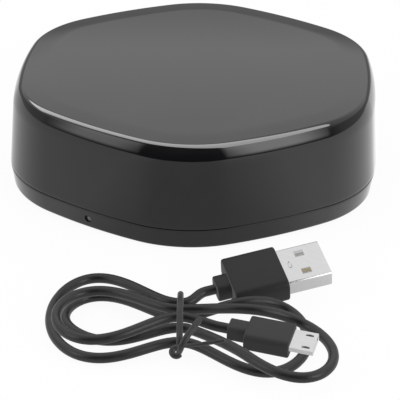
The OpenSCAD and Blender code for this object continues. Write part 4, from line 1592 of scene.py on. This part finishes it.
@dataclass
class TwistTie:
    """The covered wire round the waist: band, standing leg, curled end and thin tail.

    The leg, the tail and the curl's middle are shares of the reach, from the knot.
    """

    cord: WoundCord
    wire: float = 1.6
    tail: float = 1.0
    gap: float = 0.15
    reach: float = 10.0
    sides: int = 14
    tip_share: float = 0.72
    sharp_deg: float = 50
    knot_at: float = 270
    far_at: float = 810
    band_step: float = 12
    bend_steps: int = 8
    leg_shares: tuple = ((0.02, -0.05, -0.05), (0.06, -0.11, 0.11), (0.2, 0.03, 0.31), (0.49, 0.44, 0.53))
    tail_shares: tuple = ((0.06, -0.11, 0.09), (0.37, -0.21, 0.19), (0.72, -0.27, 0.29), (1.09, -0.29, 0.37))
    curl_shares: tuple = (-0.07, -0.23, 0.0)
    curl_radius: float = 1.0
    curl_tilt: float = 40
    curl_span: tuple = (60, 330)
    curl_steps: int = 24

    @property
    def ring_radius(self) -> float:
        """Give the distance from a strand's middle to the wire's middle."""
        return self.cord.diameter / 2 + self.gap + self.wire / 2

    def band(self) -> list[Vector]:
        """Give the band's centre line round the outer strands.

        Returns:
            The points in millimetres.
        """
        places = (self.knot_at, self.cord.start_deg, self.far_at, self.cord.end_deg)
        posts = [self.cord.point(t) for t in places]
        radius = self.ring_radius
        line = []
        for i, post in enumerate(posts):
            into, out = post - posts[i - 1], posts[(i + 1) % len(posts)] - post
            a, b = math.atan2(-into.y, into.z), math.atan2(-out.y, out.z)
            while b < a:
                b += math.tau
            steps = max(2, math.ceil(math.degrees(b - a) / self.band_step))
            line += [Vector((self.cord.waist[0], post.y + radius * math.cos(a + (b - a) * k / steps),
                             post.z + radius * math.sin(a + (b - a) * k / steps))) for k in range(steps + 1)]
        return line

    def rounded(self, shares: Sequence[tuple], knot: Vector) -> list[Vector]:
        """Give a smooth line through a few places near the knot.

        Args:
            shares: the places, as shares of the reach from the knot.
            knot: the knot.

        Returns:
            The points in millimetres.
        """
        spots = [knot + self.reach * Vector(s) for s in shares]
        line = []
        for i in range(len(spots) - 1):
            p0, p1 = spots[max(i - 1, 0)], spots[i]
            p2, p3 = spots[i + 1], spots[min(i + 2, len(spots) - 1)]
            for k in range(self.bend_steps):
                t = k / self.bend_steps
                line.append(0.5 * ((2 * p1) + (p2 - p0) * t + (2 * p0 - 5 * p1 + 4 * p2 - p3) * t * t
                                   + (3 * p1 - p0 - 3 * p2 + p3) * t ** 3))
        return line + [spots[-1]]

    def curl(self, knot: Vector) -> list[Vector]:
        """Give the curled end's centre line.

        Args:
            knot: the knot.

        Returns:
            The points in millimetres.
        """
        tilt = math.radians(self.curl_tilt)
        middle = knot + self.reach * Vector(self.curl_shares)
        first, last = self.curl_span
        line = []
        for k in range(self.curl_steps + 1):
            a = math.radians(first + (last - first) * k / self.curl_steps)
            line.append(middle + self.curl_radius * Vector((math.cos(a), math.sin(a) * math.cos(tilt),
                                                            math.sin(a) * math.sin(tilt))))
        return line

    def build(self) -> bpy.types.Object:
        """Make the tie.

        Returns:
            The tie.
        """
        turn = Matrix.Rotation(CABLE_TURN, 3, "Z")
        post = self.cord.point(self.knot_at)
        knot = Vector((self.cord.waist[0], post.y - self.ring_radius, post.z))
        tilt = math.radians(self.curl_tilt)
        along, up = Vector((1, 0, 0)), Vector((0, 0, 1))
        lines = ((self.band(), self.wire, along, True),
                 (self.rounded(self.leg_shares, knot), self.wire, along, False),
                 (self.rounded(self.tail_shares, knot), self.tail, up, False),
                 (self.curl(knot), self.wire, Vector((0, -math.sin(tilt), math.cos(tilt))), False))
        mesh = bmesh.new()
        for line, size, ref, closed in lines:
            path = [turn @ (p * MM) for p in line]
            skin(mesh, pipe_rings(path, size / 2 * MM, self.sides, turn @ ref, closed, self.tip_share),
                 closed)
        bmesh.ops.recalc_face_normals(mesh, faces=mesh.faces)
        tie = new_piece("covered_tie", mesh, self.sharp_deg)
        tie.data.materials.append(POLYTHENE.build())
        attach(tie, Body.HUB.value)
        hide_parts("twist_tie")
        return tie


class InnerParts:
    """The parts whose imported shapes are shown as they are, each with its own finish."""

    FINISHES: dict = {
        ZINC: ("case_screws", "board_screws"),
        GREEN_MASK: ("main_board", "zigbee_module"),
        BLUE_MASK: ("wifi_module",),
        NICKEL: ("usb_socket_shell",),
        LATCH_STEEL_PAINTED_SHADE: ("micro_plug_latches",),
        # The latches carry painted shade: their dark colour stands in for the shade inside the slots.
        TINPLATE: ("wifi_shield_can", "zigbee_shield_can", "crystal", "capacitors"),
        GOLD_FLASH: ("usb_socket_contacts", "usb_a_contacts", "micro_plug_contacts", "zigbee_antenna"),
        NYLON: ("usb_socket_tongue", "micro_plug_core", "reset_switch", "switch_plunger",
                "regulator_chip", "ir_receiver"),
        EPOXY: ("ir_leds",),
        SILICONE: ("status_leds",),
        FERRITE: ("power_inductor",),
        LABEL_FILM: ("blank_label",),
        WHITE_NYLON: ("usb_a_tongue",),
    }

    def build(self) -> list[bpy.types.Object]:
        """Dress the nodes.

        Returns:
            The nodes.
        """
        dressed = []
        for finish, names in self.FINISHES.items():
            material = finish.build()
            for name in names:
                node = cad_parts[name]
                node.data.materials.clear()
                node.data.materials.append(material)
                dressed.append(node)
        return dressed


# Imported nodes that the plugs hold.
IN_PLUGS = ("usb_a_tongue", "usb_a_contacts", "micro_plug_core", "micro_plug_contacts",
            "micro_plug_latches")


def report(pieces: Sequence[bpy.types.Object]) -> None:
    """Log each piece by its name, and a mesh with its faces.

    Args:
        pieces: the pieces, lamps or camera.
    """
    for piece in pieces:
        size = f": {len(piece.data.polygons)} faces" if piece.type == "MESH" else ""
        log.info("built %s%s", piece.name, size)


def main() -> None:
    """Build the scene: camera and cord first, then the plugs, the tie, the hub and the studio."""
    logging.basicConfig(level=logging.INFO, format="%(message)s")
    bpy.context.scene.view_settings.view_transform = "Standard"
    report([Camera().build()])
    winding = WoundCord()
    cord, path = winding.build()
    large = LargePlug(LARGE_PLUG).build()
    small = SmallPlug(SMALL_PLUG).build()
    tie = TwistTie(winding).build()
    report([cord, *large, *small, tie])
    on_cord = [*large, *small, tie, *IN_PLUGS]
    shape = HubShape()
    cover, tray = Cover(shape).build(), Tray(shape).build()
    report([cover, tray, Feet(shape).build(), Button(shape).build()])
    report(InnerParts().build())
    report(Studio().build([cover, tray]))
    for item in [cord, *on_cord]:
        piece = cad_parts[item] if isinstance(item, str) else item
        piece.visible_glossy = False


if __name__ == "__main__":
    main()
